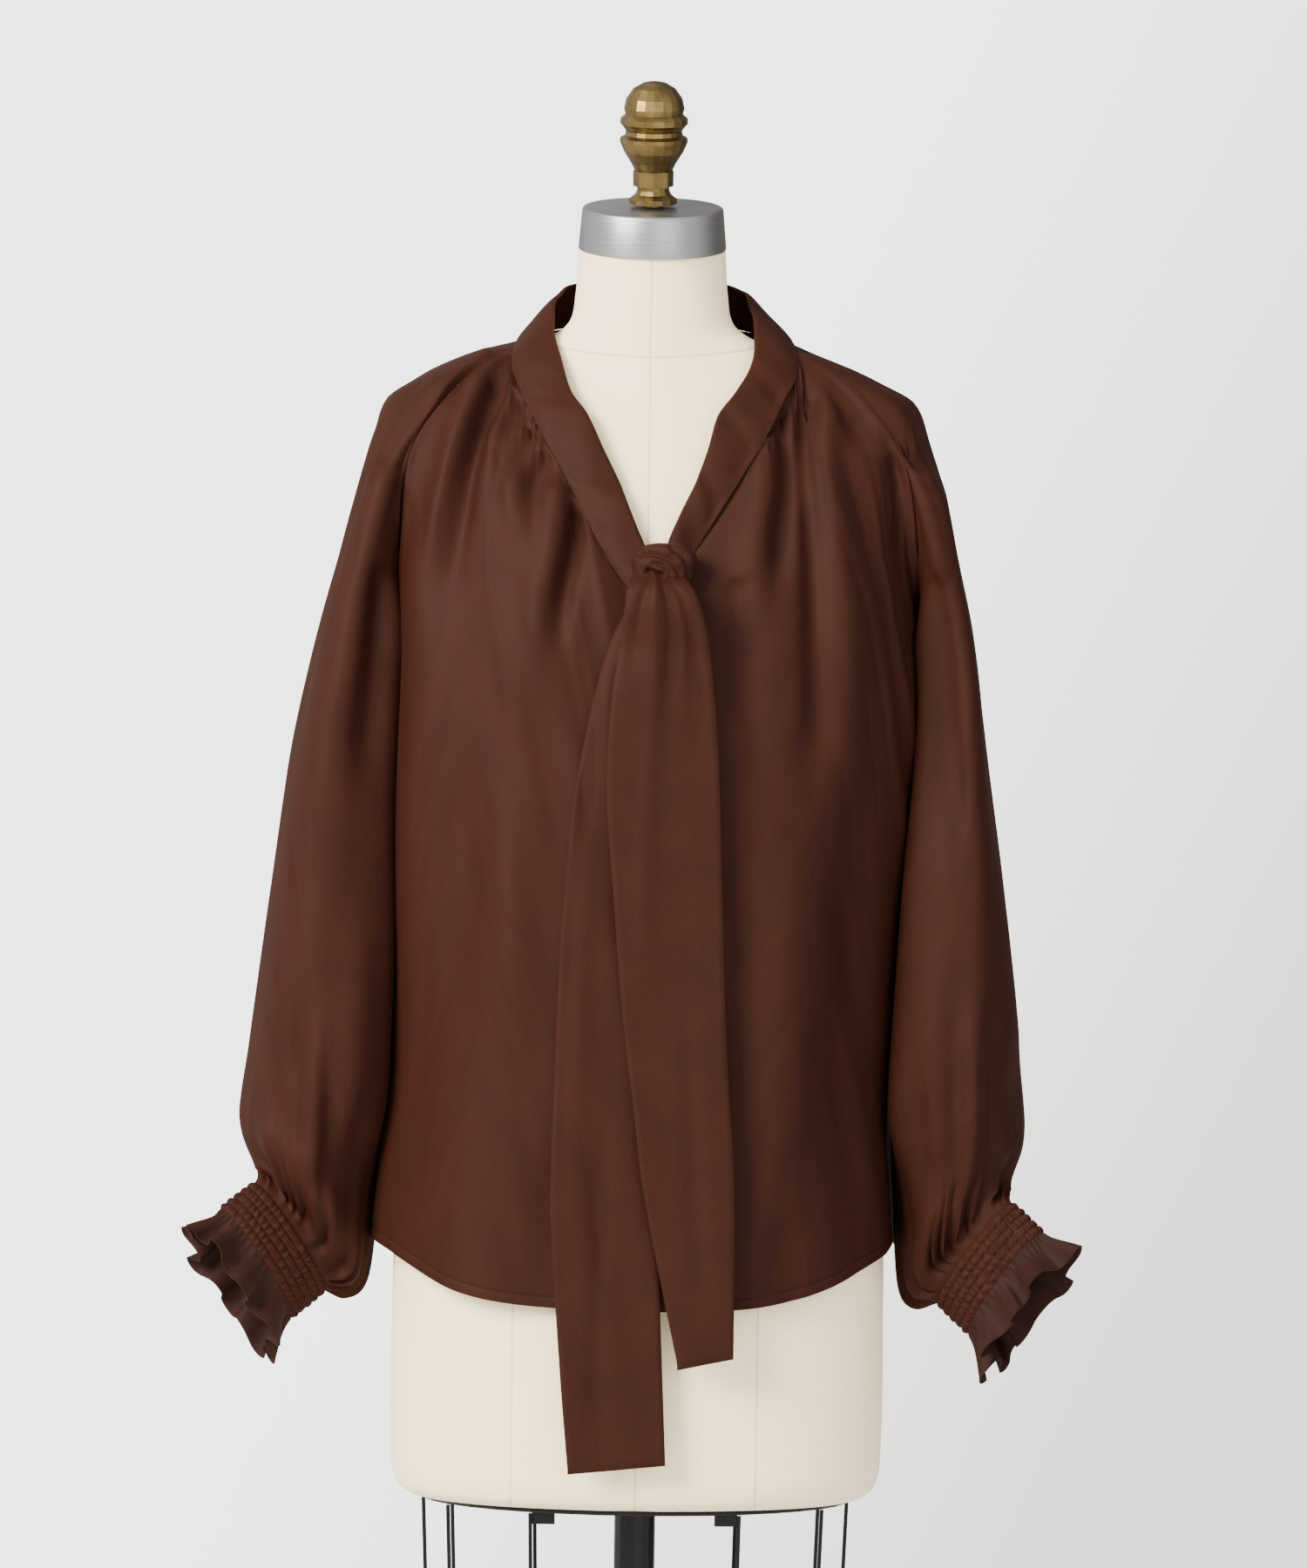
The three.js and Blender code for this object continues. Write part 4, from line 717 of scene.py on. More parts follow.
def panel(is_front, creases, seed):
    """A whole panel: a line of cloth hangs from each station down to the hem."""
    left, right = side_panel(is_front, -1), side_panel(is_front, 1)
    tops, angles, settles, window = (np.concatenate([a, b[:-1][::-1]]) for a, b in zip(left, right))
    tops[len(left[0]) - 1, 0] = 0
    ends = HEM_FRONT + (HEM_SIDE - HEM_FRONT) * np.abs(np.sin(np.radians(angles))) ** 3
    lines = hang_lines(tops, lambda z: body_point(angles[:, None], z, is_front), ends, settles)
    fall = np.linspace(0, 1, PANEL_ROWS + 1) ** 1.25
    hem = HEM_ROWS[-1]
    grid, runs = resample(
        lines, lambda total: np.concatenate([(total - hem) * fall, total - hem + HEM_ROWS]))
    turned = 1 if is_front else -1
    facing = outward(grid, False) * turned
    along, height = lengths(grid, 0), grid[..., 2]
    edge = np.minimum(along, along[-1] - along)
    near = ease(runs / 9)
    shoulder, chest, lower = ROOM[is_front]
    room = shoulder + chest * ease((1368 - height) / 70) + lower * ease((1220 - height) / 120)
    press = CREASE_GAIN * creased(grid[..., 0], height, creases) * near
    press = np.where(press > 0, room * np.tanh(press / room), press)
    press += window[:, None] * gathers(along[:, :1], runs, *NECK_GATHERS, seed)
    press += near * uneven(along, runs, 110, 420, seed + 1)
    press += 0.16 * near * uneven(along, runs, 40, 200, seed + 2)
    press += 2.6 * ease(runs / 500) * uneven(along[:, -1:], 0, 170, 1, seed + 3)
    grid = grid - facing * (press * ease(edge / 14))[..., None]
    facing = outward(grid, False) * turned
    left_over = runs[:, -1:] - runs
    stitch = np.exp(-((left_over - HEM_WIDTH) / STITCH_WIDTH) ** 2)
    shape = TURN_UP * (left_over < HEM_WIDTH) - STITCH_DEPTH * stitch
    shape = shape - 0.4 * np.exp(-runs / 1.4) - 0.5 * np.exp(-edge / 1.2)
    grid = grid + facing * shape[..., None]
    grid[[0, -1], :, 1] += -turned * SEAM_EASE
    return grid if is_front else grid[::-1]


front = cloth("front_panel", panel(True, FRONT_CREASES, 11), False, brown_satin, CLOTH_THICK)
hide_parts("front")
back = cloth("back_panel", panel(False, BACK_CREASES, 23), False, brown_satin, CLOTH_THICK)
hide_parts("back")

# %% [markdown]
# ## Sleeves
# A raglan sleeve is a tube whose top runs up the front seam, over the shoulder and down the back
# one. It hangs as a soft bell and turns into the cuff through a puff, where its fullness is held in
# about twenty small pleats.

# %% Sleeve creases in world x and z, for the front side, and round the tube for the rest
SLEEVE_CREASES = {
    -1: [
        (-6, 11, 1.2, 0.7, [(-182, 1311), (-200, 1261), (-210, 1225), (-216, 1182), (-226, 1122),
                            (-230, 996)]),
        (-5, 7, 0.8, 0.6, [(-112, 1391), (-134, 1379), (-149, 1368), (-166, 1356)]),
        (7, 7, 0.9, 0.6, [(-186, 1240), (-190, 1190), (-194, 1130), (-200, 1060)]),
        (8, 8, 0.8, 0.7, [(-240, 960), (-241, 904), (-242, 850), (-244, 800)]),
        (7, 7, 0.8, 0.8, [(-219, 920), (-218, 869), (-217, 825), (-219, 790)]),
        (-5, 10, 0.7, 0.6, [(-196, 1010), (-199, 945), (-203, 879), (-208, 820)]),
        (-5, 8, 0.7, 0.8, [(-230, 930), (-230, 870), (-232, 800)]),
        (6, 9, 0.8, 0.7, [(-256, 930), (-262, 880), (-266, 830)]),
        (5, 8, 0.8, 0.6, [(-196, 880), (-198, 830), (-206, 780)]),
    ],
    1: [
        (-5, 11, 1.2, 0.7, [(190, 1320), (205, 1270), (214, 1210), (220, 1150), (228, 1060)]),
        (4, 9, 0.8, 0.6, [(184, 1330), (199, 1312), (208, 1296)]),
        (6, 8, 1.0, 0.7, [(206, 1240), (210, 1180), (214, 1110), (220, 1020)]),
        (7, 8, 0.8, 0.8, [(243, 960), (245, 900), (249, 840), (252, 800)]),
        (7, 7, 0.8, 0.8, [(222, 950), (222, 880), (221, 820), (224, 785)]),
        (-5, 9, 0.7, 0.7, [(232, 960), (233, 890), (234, 820)]),
        (-5, 10, 0.7, 0.6, [(206, 1000), (206, 920), (208, 850), (212, 800)]),
        (6, 9, 0.8, 0.7, [(262, 920), (266, 870), (266, 830)]),
        (5, 8, 0.8, 0.6, [(196, 900), (197, 840), (204, 780)]),
    ]}
ROUND_FOLDS = [(0.56, 300, 650, 7, 0.045), (0.66, 100, 600, -5, 0.05), (0.75, 280, 640, 8, 0.045),
               (0.86, 200, 620, -5, 0.055), (0.62, 60, 300, 4, 0.03), (0.8, 60, 260, 4, 0.03)]
# where the sleeve is tucked behind the body or into the valley beside it: turn, depth, width, below
TUCKS = [(0.835, 34, 0.055, 1230), (0.13, 18, 0.06, 1260)]
CUFF_LENGTH, CUFF_DEPTH, CUFF_HEIGHT = 47, 16, 32
BELL_END, BELL_END_INSIDE = 865, 800
SLEEVE_ROWS, SLEEVE_GIRTH, PLEATS = 118, 620, 21


# %% [markdown]
# ## The wrist
# The sleeve's end, the cuff and the ruffle all follow one flat oval. No hand holds it open, and its
# axis points outwards, down and forward, because the sleeve's fullness hangs over it inside.


# %% The wrist
def wrist_frame(side):
    """The oval's middle, its axis, and its long and short directions."""
    wrist = WRIST[side]
    flip = np.array([side, 1, 1])
    axis = unit(np.array(wrist["axis"]) * flip)
    long = np.array(wrist["long"]) * flip
    long = unit(long - axis * long.dot(axis))
    return np.array(wrist["at"]) * flip, axis, long, unit(np.cross(axis, long) * -side)


def wrist_point(side, turn, along, lift):
    """A point of the oval ring round the wrist, at that turn, way along its axis and lift."""
    centre, axis, long, deep = wrist_frame(side)
    angle = np.asarray(turn)[..., None] * 2 * np.pi
    lift = np.asarray(lift)[..., None]
    ring = long * np.cos(angle) * (CUFF_LENGTH + lift) + deep * np.sin(angle) * (CUFF_DEPTH + lift)
    return centre + ring + axis * np.asarray(along)[..., None]


# %% [markdown]
# ## Laying a sleeve
# The bell hangs straight at first, then every line bends out and down into the cuff, the inner
# ones over a deeper puff. The pleats of the seam deepen towards it and end in its stitching.


# %% Sleeves
def sleeve_point(side, turn, z):
    """A point of the hanging bell: the turn goes from the body side over the front and outside."""
    inner, outer, ahead = (read(SLEEVE, part + SIDE_NAME[side], z)
                           for part in ("inner_", "outer_", "front_"))
    behind = read(SLEEVE, "back", z)
    cosine, sine = np.cos(turn * 2 * np.pi), np.sin(turn * 2 * np.pi)
    x = (inner + outer) / 2 - (outer - inner) / 2 * np.sign(cosine) * np.abs(cosine) ** (2 / 2.2)
    y = (behind + ahead) / 2 - (behind - ahead) / 2 * np.sign(sine) * np.abs(sine) ** (2 / 2.2)
    return join(side * x, y, z)


def sleeve_tops(side):
    """The sleeve's stations: up the front seam, over the shoulder and down the back seam."""
    at = np.linspace(0, 1, 41)
    tops, turns, settles = [], [], []
    for is_front in (True, False):
        point, to_body, _ = raglan_station(side, is_front, at)
        top = point - to_body * SEAM_EASE
        turn = 0.38 * at if is_front else 1 - 0.38 * at
        order = slice(None) if is_front else slice(None, 0, -1)
        tops.append(top[order])
        turns.append(turn[order])
        settles.append((40 - 8 * at)[order])
        if is_front:
            step = np.arange(1, 20) / 20
            neck, _, _, across = neck_station(side, FRONT_CORNER + (BACK_CORNER - FRONT_CORNER) * step)
            tops.append(neck - across * SEAM_EASE)
            turns.append(0.38 + 0.24 * step)
            settles.append(np.full(19, 30.0))
    return np.concatenate(tops), np.concatenate(turns), np.concatenate(settles)


def bezier(a, b, c, d, t):
    """Curves from points a to points d, with b and c as handles."""
    a, b, c, d = (p[:, None] for p in (a, b, c, d))
    t = t[None, :, None]
    return a * (1 - t)**3 + 3 * b * t * (1 - t)**2 + 3 * c * t**2 * (1 - t) + d * t**3


def sleeve(side, seed):
    """A sleeve: it hangs as a bell, bends round a puff into the cuff, and is pleated there."""
    tops, turns, settles = sleeve_tops(side)
    inward = (1 + np.cos(turns * 2 * np.pi)) / 2
    backward = (1 - np.sin(turns * 2 * np.pi)) / 2
    ends = BELL_END + (BELL_END_INSIDE - BELL_END) * inward - 15 * backward
    lines = hang_lines(tops, lambda z: sleeve_point(side, turns[:, None], z), ends, settles)
    start = lines[:, -1]
    _, axis, _, _ = wrist_frame(side)
    cuff = wrist_point(side, turns, np.full(len(turns), -SEAM_EASE), np.zeros(len(turns)))
    drop = 20 + 75 * (inward * 0.6 + backward * 0.4)
    first = start + np.stack([np.full(len(turns), side * 4.0), np.zeros(len(turns)), -drop], -1)
    out = unit(np.array([side, -0.6, 0.35]))
    arrive = unit(axis + (out - axis) * (inward * 0.8)[:, None])
    second = cuff - arrive * (18 + 12 * inward)[:, None]
    lines = np.concatenate([lines, bezier(start, first, second, cuff, np.linspace(0, 1, 61)[1:])], 1)
    t = np.linspace(0, 1, SLEEVE_ROWS + 1)
    grid, runs = resample(lines, lambda total: total * (t - 0.62 * np.sin(2 * np.pi * t) / (2 * np.pi)))
    left_over = runs[:, -1:] - runs
    tuck = 0
    for place, depth, width, below in TUCKS:
        across = np.exp(-((turns[:, None] - place) / width) ** 2)
        tuck += depth * across * ease((below - grid[..., 2]) / 80)
    grid[..., 0] -= side * tuck * ease((left_over - 60) / 90)
    facing = outward(grid, True) * side
    near = ease(runs / 9) * ease(left_over / 26)
    seen = ease(0.3 - facing[..., 1] * 1.6)
    press = creased(grid[..., 0], grid[..., 2], SLEEVE_CREASES[side]) * seen
    for place, start_at, end_at, depth, width in ROUND_FOLDS:
        middle, reach = (start_at + end_at) / 2, (end_at - start_at) / 2
        fade = 1 - ease(np.abs(runs - middle) / reach)
        press += depth * fade * np.exp(-((turns[:, None] - place) / width) ** 2)
    around = turns[:, None] * SLEEVE_GIRTH
    press += 1.2 * uneven(around, runs, 120, 380, seed) + 0.2 * uneven(around, runs, 50, 180, seed + 1)
    press = press * near
    swing = 0.35 * np.sin(turns * 2 * np.pi * 4 + seed) + 0.2 * np.sin(turns * 2 * np.pi * 9 + 1)
    pleat = np.sin(2 * np.pi * (turns * PLEATS + swing))[:, None]
    finer = np.sin(2 * np.pi * (turns * PLEATS * 1.9 + swing * 2))[:, None]
    fade = ease(left_over / 20 + 0.12) * np.exp(-np.maximum(left_over - 16, 0) / 34)
    press += (3.4 * pleat + 1.2 * finer) * fade
    grid = grid - facing * press[..., None]
    facing = outward(grid, True) * side
    shape = -0.4 * np.exp(-runs / 1.4) - 0.6 * np.exp(-left_over / 1.6)
    grid = grid + facing * shape[..., None]
    return grid if side > 0 else grid[::-1]


sleeves, cuffs, ruffles = {}, {}, {}
for side in (-1, 1):
    sleeves[side] = cloth("raglan_sleeve_" + SIDE_NAME[side], sleeve(side, 31 + side), True, brown_satin,
                          CLOTH_THICK)
    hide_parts("sleeve_" + SIDE_NAME[side])

# %% [markdown]
# ## Cuffs
# Elastic thread draws each cuff in: five rows of shirring with small puffs between them. The puffs
# are sines whose phase wanders from row to row, because no two gathers line up in real shirring.

# %% Cuffs
SHIRRING_ROWS, PUFFS, CUFF_THICK = 5, 46, 1.0


def cuff(side, seed):
    """A tube of puffs between rows of elastic thread, which lie in grooves."""
    turn, t = np.meshgrid(np.arange(324) / 324, np.linspace(0, 1, 41), indexing="ij")
    rng = np.random.default_rng(seed)
    row = np.abs(np.sin(np.pi * t * SHIRRING_ROWS))
    in_row = np.minimum((t * SHIRRING_ROWS).astype(int), SHIRRING_ROWS)
    shift = rng.uniform(0, 6.28, SHIRRING_ROWS + 1)[in_row]
    angle = turn * 2 * np.pi
    wobble = 0.5 * np.sin(angle * 7 + shift) + 0.4 * np.sin(angle * 13 + 2 * shift)
    slant = 1.6 * np.sin(angle * 5 + 3 * t) + 1.2 * np.sin(np.pi * t * 3 + angle * 9)
    puff = 0.5 + 0.36 * np.sin(angle * PUFFS + wobble * 2.6 + 0.6 * shift + slant)
    puff = puff + 0.2 * np.sin(angle * PUFFS * 0.61 + wobble * 3 + shift)
    lift = 0.3 + row**0.55 * (0.2 + 1.8 * np.clip(puff, 0, 1)) - 0.2 * (1 - row) ** 6
    lift = lift * (0.35 + 0.65 * ease(t / 0.06) * ease((1 - t) / 0.06))
    grid = wrist_point(side, turn, t * CUFF_HEIGHT, lift)
    return grid if side > 0 else grid[::-1]


# %% [markdown]
# ## Ruffles
# Below the last row of elastic the cloth runs free in nine uneven waves, which deepen towards its
# narrow rolled edge. It is a single layer; the light through it is painted in, as a paler, greyer
# colour.

# %% Ruffles
RUFFLE_HEIGHT, RUFFLE_WAVES, ROUND_CREST = 26, 9, 0.006
WAVE_DEPTH, FLARE, RUFFLE_DROOP, EDGE_BEAD = 7.2, 0.3, 4, 0.5
RUFFLE_THICK = 0.9


def ruffle(side, seed):
    """A frill: uneven waves that grow towards its edge, over the small gathers of its seam."""
    turn, t = np.meshgrid(np.arange(330) / 330, np.linspace(0, 1, 25), indexing="ij")
    angle = turn * 2 * np.pi
    phase = angle * RUFFLE_WAVES + 0.9 * np.sin(angle * 3 + seed) + 0.5 * np.sin(angle * 5 + 2 * seed)
    wave = np.sin(phase) * (1 + 0.3 * np.sin(angle * 2 + seed))
    curl = ROUND_CREST * np.sin(2 * phase) * ease(t)
    small = np.sin(angle * PUFFS + np.sin(phase)) * np.exp(-t / 0.2)
    along = CUFF_HEIGHT + 2 * SEAM_EASE + t * RUFFLE_HEIGHT * (1 + 0.1 * np.sin(phase * 0.5 + 1))
    lift = WAVE_DEPTH * wave * t**0.9 + FLARE * RUFFLE_HEIGHT * ease(t) * t
    lift = lift + 0.9 * small * ease(t / 0.08)
    grid = wrist_point(side, turn - curl, along, lift)
    grid = grid + np.stack([0 * t, 0 * t, -RUFFLE_DROOP * t * t], -1)
    bead = EDGE_BEAD * np.exp(-((1 - t) * RUFFLE_HEIGHT / 1.2) ** 2)
    grid = grid if side > 0 else grid[::-1]
    return grid + outward(grid, True) * (bead if side > 0 else bead[::-1])[..., None]


for side in (-1, 1):
    cuffs[side] = cloth("shirred_cuff_" + SIDE_NAME[side], cuff(side, 41 + side), True, brown_satin,
                        CUFF_THICK)
    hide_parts("cuff_" + SIDE_NAME[side])
    ruffles[side] = cloth("cuff_ruffle_" + SIDE_NAME[side], ruffle(side, 51 + side), True, thin_satin,
                          RUFFLE_THICK)
    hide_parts("ruffle_" + SIDE_NAME[side])

# %% [markdown]
# ## Neckband
# The band is a folded bias strip about 35 mm wide. It stands up at the back of the neck, lies over
# the collar bones and runs down both sides of the V into the knot. On its right side the lower
# edge rolls out over the seam.


# %% Band
BAND_THICK = 2.0
OVER_KNOT = 9
# soft dents across the band: place along the neck seam and depth
RIGHT_DENTS = ((5.6, 2.4), (7.2, 1.6), (9.0, 1.8))
LEFT_DENTS = ((6.2, 1.3), (8.6, 1.8), (10.0, 1.5))


def neckband(seed):
    """The band from the bottom of the V up the left side, round the neck and down the right."""
    sides = np.concatenate([np.full(150, -1), np.full(149, 1)])
    places = np.concatenate([np.linspace(V_BOTTOM - 0.1, 0, 150),
                             np.linspace(0, BAND_END + 0.2, 150)[1:]])
    stations = [neck_station(side, [at]) for side, at in zip(sides, places)]
    point, edge, facing, across = (np.concatenate([s[k] for s in stations]) for k in range(4))
    facing[149] = unit(facing[149] * [0, 1, 1])
    t = np.concatenate([np.linspace(0, 0.94, 22), [0.965, 0.985, 0.997, 1.0, 1.0]])
    roll = np.concatenate([np.zeros(22), [0.15, 0.5, 1.1, 1.8, 2.6]])
    start = point + across * SEAM_EASE
    grid = start[:, None] + (edge - start)[:, None] * t[None, :, None]
    run = np.concatenate([[0], np.cumsum(np.linalg.norm(np.diff(point, axis=0), axis=1))])[:, None]
    rolled = (sides > 0) * ease((places - 4.6) / 1.2) * (1 - ease((places - 9.2) / 1.2))
    puff = 2.7 * np.sin(np.pi * np.clip(t, 0, 1)) ** 0.8 + 3.2 * rolled[:, None] * np.exp(-t / 0.2)
    puff = puff + 0.7 * uneven(run, t * 36, 60, 55, seed) * ease(t / 0.15)
    for place, depth in RIGHT_DENTS:
        path = (places[:, None] - place + 0.8 * (t - 0.5)) / 0.26
        puff = puff - (sides > 0)[:, None] * depth * np.exp(-path**2) * ease(t / 0.2)
    for place, depth in LEFT_DENTS:
        path = (places[:, None] - place - 0.7 * (t - 0.5)) / 0.28
        puff = puff - (sides < 0)[:, None] * depth * np.exp(-path**2) * ease(t / 0.2)
    puff = puff + (sides < 0)[:, None] * OVER_KNOT * ease((places[:, None] - 10.1) / 1.2)
    return grid + facing[:, None] * (puff - roll)[..., None]


band = cloth("tie_neckband", neckband(61), False, brown_satin, BAND_THICK)
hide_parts("neckband")

# %% [markdown]
# ## Knot and tails
# The tie is the two ends of the band: double cloth, pressed flat at the edges. One end wraps over
# the other and hangs in front. The knot is a soft lump, wide at its shoulders, with a pinch below
# its top loop where the front tail comes out and folds that run down into that tail.

# %% Tie
KNOT_PLACE = (11, -123.3, 1241)
KNOT_SIZE = (24, 15.3, 17)
KNOT_CREASES = [
    (4.5, 2.8, 0.4, 0.7, [(-2, 1239), (6, 1235), (13, 1233)]),
    (2.8, 1.8, 0.6, 0.7, [(-8, 1250), (4, 1251), (15, 1247), (22, 1238), (23, 1228)]),
    (2.4, 1.6, 0.6, 0.8, [(14, 1256), (25, 1250), (29, 1240), (29, 1228)]),
    (2.2, 1.6, 0.6, 0.6, [(2, 1244), (11, 1243), (16, 1237), (16, 1229)]),
    (-1.8, 2.6, 0.4, 0.8, [(-4, 1254), (8, 1255), (18, 1251)]),
]
TAIL_FRONT = table("z left right", [
    (690, 28, 67), (809, 3, 66), (870, -5, 62), (931, -13, 58), (1008, -20, 55), (1085, -26, 52),
    (1146, -24, 48), (1190, -18, 43), (1208, -16, 39), (1218, -15, 36), (1226, -14, 32), (1233, -12, 27),
    (1238, -9, 21)])
TAIL_BACK = table("z left right", [
    (615, -47, 21), (680, -53, 18), (793, -61, 13), (870, -60, 12), (946, -58, 12), (1008, -55, 12),
    (1085, -48, 10), (1146, -37, 8), (1190, -25, 6), (1218, -11, 4)])
TAIL_CREASES = [
    (3.4, 2.2, 2.2, 0.5, [(8, 1236), (15, 1222), (19, 1198), (17, 1160), (14, 1100)]),
    (3.0, 1.8, 2.2, 0.6, [(11, 1236), (24, 1220), (31, 1200), (35, 1160), (37, 1090)]),
    (2.4, 1.8, 2.4, 0.5, [(3, 1236), (-3, 1220), (-7, 1195), (-11, 1150)]),
    (-1.8, 2.4, 2.0, 0.5, [(6, 1236), (5, 1215), (6, 1180), (4, 1120)]),
    (-1.8, 5.0, 1.0, 0.7, [(8, 1200), (4, 1120), (0, 1020), (2, 930)]),
    (1.6, 4.5, 1.0, 0.8, [(30, 960), (34, 880), (40, 790), (48, 720)]),
]
BACK_TAIL_CREASES = [
    (2.2, 3.0, 1.5, 0.7, [(-20, 1208), (-34, 1160), (-40, 1100), (-44, 1000)]),
    (-1.8, 5.0, 1.0, 0.8, [(-36, 1100), (-42, 980), (-44, 860), (-40, 760)]),
    (2.0, 4.5, 1.2, 0.8, [(-22, 900), (-26, 800), (-28, 700), (-24, 620)]),
]


TAIL_HALF, TAIL_EDGE, TAIL_END = 1.35, 2.2, 2.0
FRONT_TOP, BACK_TOP, FRONT_LIFT, BACK_LIFT = 1238, 1219, 11.1, 4.1


def tail(rows, lift, top, creases, seed, skew):
    """One hanging end: rings of a flat double strip, from the knot down to its slanted end."""
    bottom = rows["z"][0]
    fall = np.linspace(0, 1, 171)
    ring = np.concatenate([np.linspace(0, 1, 37), np.linspace(1, 0, 37)[1:-1]])
    is_face = np.concatenate([np.ones(37, bool), np.zeros(35, bool)])
    s = ring[None, :]
    z = top + (bottom - skew * (s - 0.5) - top) * fall[:, None]
    left, right = read(rows, "left", z), read(rows, "right", z)
    x = left + (right - left) * s
    hang = body_point(np.zeros_like(z), np.maximum(z, HEM_FRONT), True)[..., 1]
    near_top = 1 - ease((top - z) / 260)
    round_off = 4 * np.sin(s * np.pi) * near_top
    press = creased(x, z, creases)
    press += 1.2 * uneven(x, top - z, 60, 170, seed) * ease((top - z) / 60)
    press += 1.0 * uneven(x * 0 + 3, top - z, 50, 130, seed + 1) * (s - 0.5) * ease((top - z) / 60)
    edge = np.minimum(s, 1 - s) * (right - left)
    half = TAIL_HALF * np.sqrt(np.clip(1 - (1 - np.minimum(edge / TAIL_EDGE, 1)) ** 2, 0.02, 1))
    bottom_edge = np.clip((1 - fall[:, None]) * (top - bottom) / TAIL_END, 0, 1)
    half = half * np.sqrt(np.clip(1 - (1 - bottom_edge) ** 2, 0.05, 1))
    # the front end comes forward out of the knot and turns back into it at its very top
    over_knot = 0 if top < FRONT_TOP else 9 * ease((z - 1180) / 38) - 13 * ease((z - 1226) / 12)
    y = hang - lift + 1.5 - round_off - over_knot + np.clip(press, -4, 2.2)
    return np.stack([x, y + np.where(is_face, -half, half), z], -1)


end_front = solid("tie_end_front", tail(TAIL_FRONT, FRONT_LIFT, FRONT_TOP, TAIL_CREASES, 71, -8),
                  brown_satin)
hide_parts("tie_tail_front")
end_back = solid("tie_end_back", tail(TAIL_BACK, BACK_LIFT, BACK_TOP, BACK_TAIL_CREASES, 73, -7),
                 brown_satin)
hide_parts("tie_tail_back")


def knot():
    """A lump with soft shoulders whose surface is pressed in along the knot's folds."""
    down, turn = np.meshgrid(np.linspace(0.03, 0.97, 90) * np.pi,
                             np.arange(120) / 120 * 2 * np.pi, indexing="ij")
    z, ring = np.cos(down), np.sin(down)
    pinch = 1 - 0.1 * np.exp(-((z + 0.1) / 0.35) ** 2) + 0.05 * z
    x = np.sign(np.sin(turn)) * np.abs(np.sin(turn)) ** 0.9 * ring ** 0.75 * pinch
    y = -np.cos(turn) * ring ** 0.75
    place, size = np.array(KNOT_PLACE), np.array(KNOT_SIZE)
    rings = place + np.stack([x, y, z], -1) * size
    rings[..., 0] += 1.5 * z
    out = unit((rings - place) / size**2)
    press = creased(rings[..., 0], rings[..., 2], KNOT_CREASES) * ease(-y * 1.5 + 0.2)
    return rings - out * press[..., None]


tie_knot = solid("tie_knot_wrap", knot(), brown_satin, angle=70)
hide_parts("tie_knot")

# %% [markdown]
# ## Dress form
# The form is a padded shell under a linen cover, cut in panels: its centre and princess seams show
# below the hem and in the V. The neck ends in a brushed metal plate with a turned finial.

# %% Torso
TORSO = table("z half front back round", [
    (582, 160, 96, 104, 2.2), (588, 169, 104, 112, 2.2), (604, 174, 109, 117, 2.2),
    (700, 175, 111, 119, 2.2), (800, 171, 110, 114, 2.2), (900, 146, 101, 98, 2.2),
    (1000, 123, 88, 88, 2.2), (1080, 134, 98, 94, 2.2), (1150, 149, 115, 102, 2.2),
    (1210, 156, 107, 106, 2.2), (1260, 161, 94, 106, 2.2), (1310, 165, 76, 100, 1.9),
    (1340, 168, 64, 90, 1.6), (1356, 166, 57, 82, 1.5), (1368, 155, 53, 77, 1.42),
    (1378, 137, 50, 73, 1.38), (1388, 117.6, 47, 69, 1.4), (1397, 93.7, 46, 66, 1.5),
    (1406, 70, 46, 64, 1.7), (1416, 58, 46, 61, 2), (1436, 54, 47, 58, 2),
    (1458, 52.5, 48, 54, 2), (1468, 52, 50, 50, 2)])
FORM_BOTTOM, NECK_TOP, NECK_TILT = 582, 1468, math.radians(12)


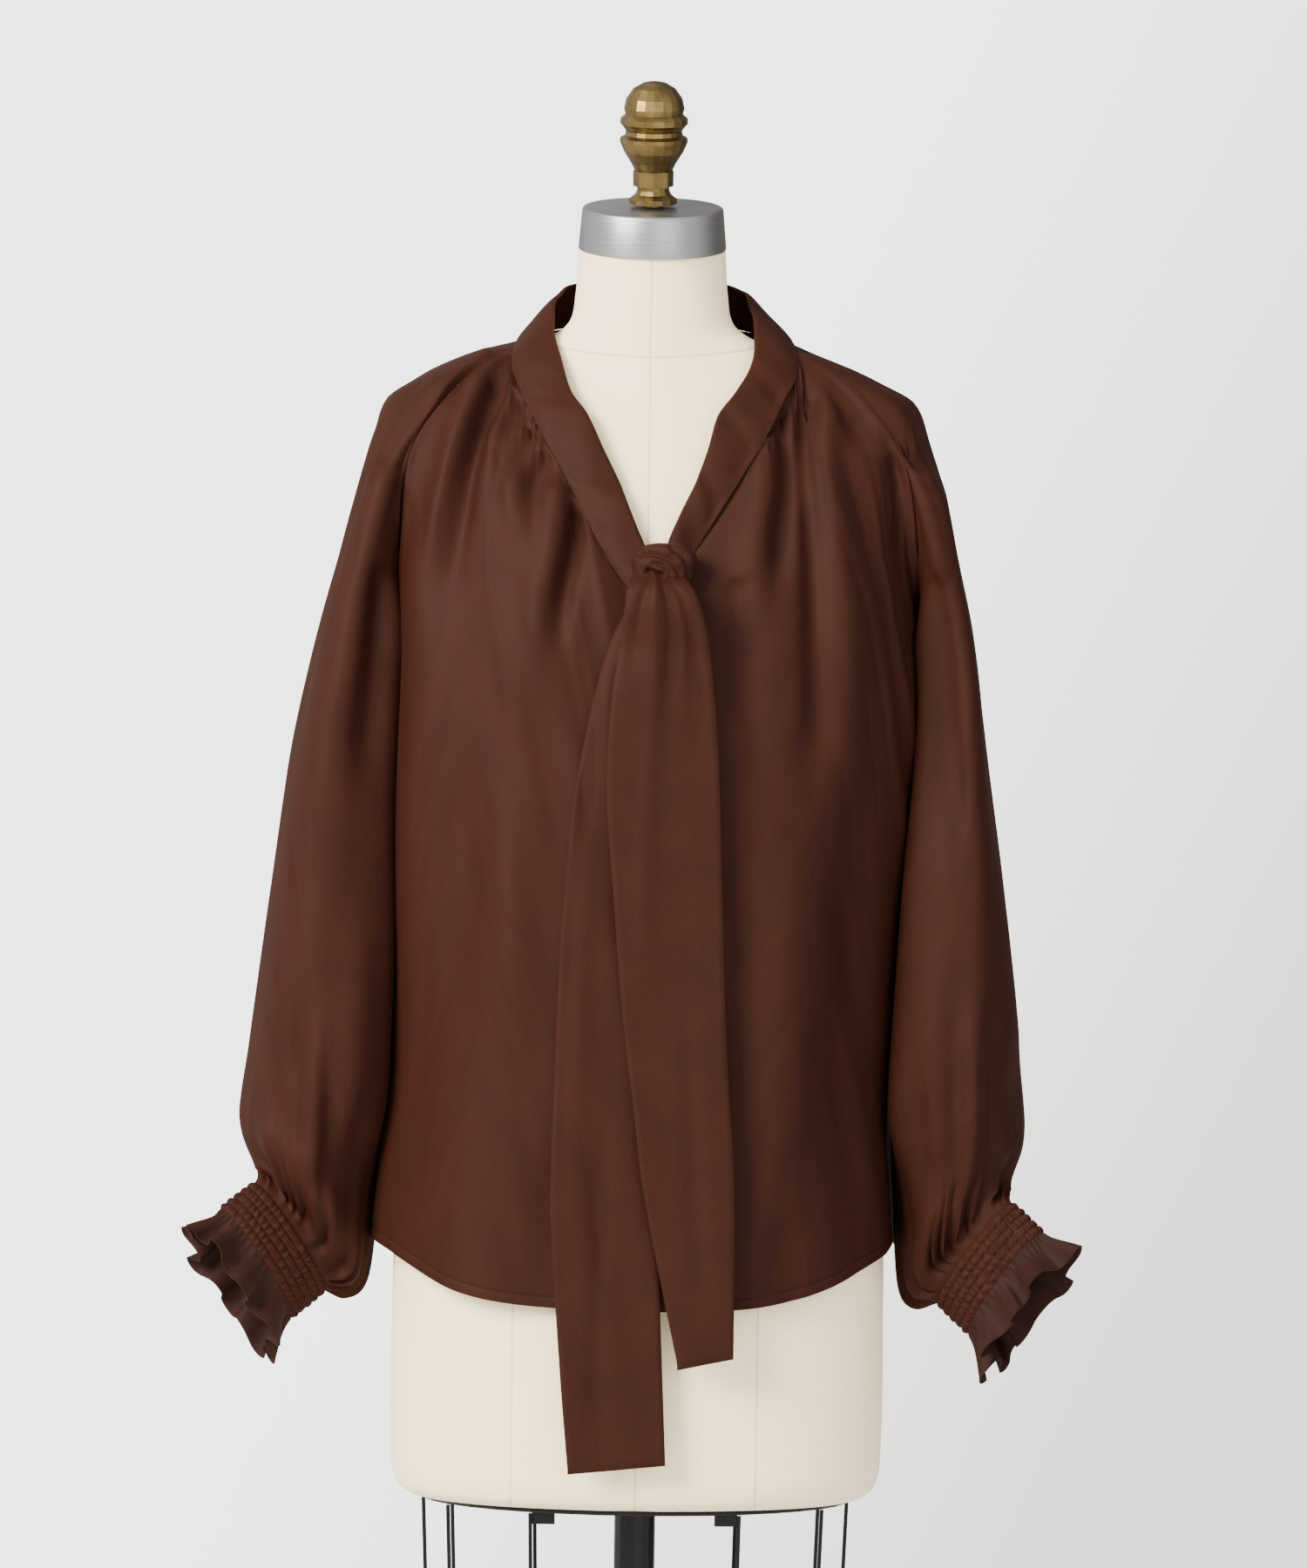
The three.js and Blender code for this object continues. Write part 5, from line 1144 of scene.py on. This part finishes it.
def torso():
    """The padded form, with fine grooves where its seams lie. Its neck's top slopes to the front."""
    z = np.concatenate([np.linspace(FORM_BOTTOM, 606, 14), np.linspace(612, 1320, 90),
                        np.linspace(1326, NECK_TOP, 56)])[:, None]
    turn = (np.arange(160) / 160 * 2 * np.pi)[None, :]
    half, ahead, behind, power = (read(TORSO, name, z) for name in ("half", "front", "back", "round"))
    sine, cosine = np.sin(turn), np.cos(turn)
    depth = np.where(cosine > 0, ahead, behind)
    x = -half * np.sign(sine) * np.abs(sine) ** (2 / power)
    y = -depth * np.sign(cosine) * np.abs(cosine) ** (2 / power)
    groove = 0.9 * np.exp(-(x / 1.1) ** 2) * ease((1450 - z) / 20)
    groove = groove + 0.8 * np.exp(-((z - NECK_SEAM / MM - y * NECK_SEAM_SLOPE) / 1.0) ** 2)
    scale = 1 - groove / np.maximum(np.hypot(x, y), 30)
    tilt = NECK_TILT * ease((z - 1420) / (NECK_TOP - 1420))
    return np.stack([x * scale, y * scale * np.cos(tilt), z + y * scale * np.sin(tilt)], -1)


form = solid("padded_form", torso(), linen, angle=50)
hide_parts("form_torso")

# %% [markdown]
# ## Neck plate
# The plate is a turned aluminium cap with a broken top edge. It is drawn again here, because the
# model's flat faces show on a turned part.

# %% Neck plate
# radius and height, from the lower edge up
CAP_PROFILE = np.array([(51.9, 0.3), (52.5, 0.9), (52.4, 3.0), (50.2, 28.2),
                        (49.8, 29.2), (48.8, 29.9), (47.6, 30.0)])


def neck_plate():
    """The turned cap, tilted like the neck that it closes."""
    turn = np.arange(128) / 128 * 2 * np.pi
    radius, height = CAP_PROFILE[:, :1], CAP_PROFILE[:, 1:]
    x, y = radius * np.cos(turn), radius * np.sin(turn)
    tilt = (np.cos(NECK_TILT), np.sin(NECK_TILT))
    return np.stack([x, y * tilt[0] - height * tilt[1], NECK_TOP + y * tilt[1] + height * tilt[0]], -1)


plate = solid("neck_plate", neck_plate(), aluminium, angle=35)
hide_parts("neck_cap")

# %% [markdown]
# ## Metal parts
# The finial is turned brass, the pole and cage are enamelled steel, and the base is cast iron. They
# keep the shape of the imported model, which is close enough, and get their finishes here.

# %% Finishes of the kept nodes
FINISH = {"finial_nut": brass, "finial_foot": brass, "finial_knob": brass}
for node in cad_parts:
    thing = bpy.data.objects.get(node)
    if node in FINISH or node.startswith(("pole", "base", "cage_")):
        for place in thing.material_slots:
            place.material = FINISH.get(node, enamel)
print("kept nodes finished")
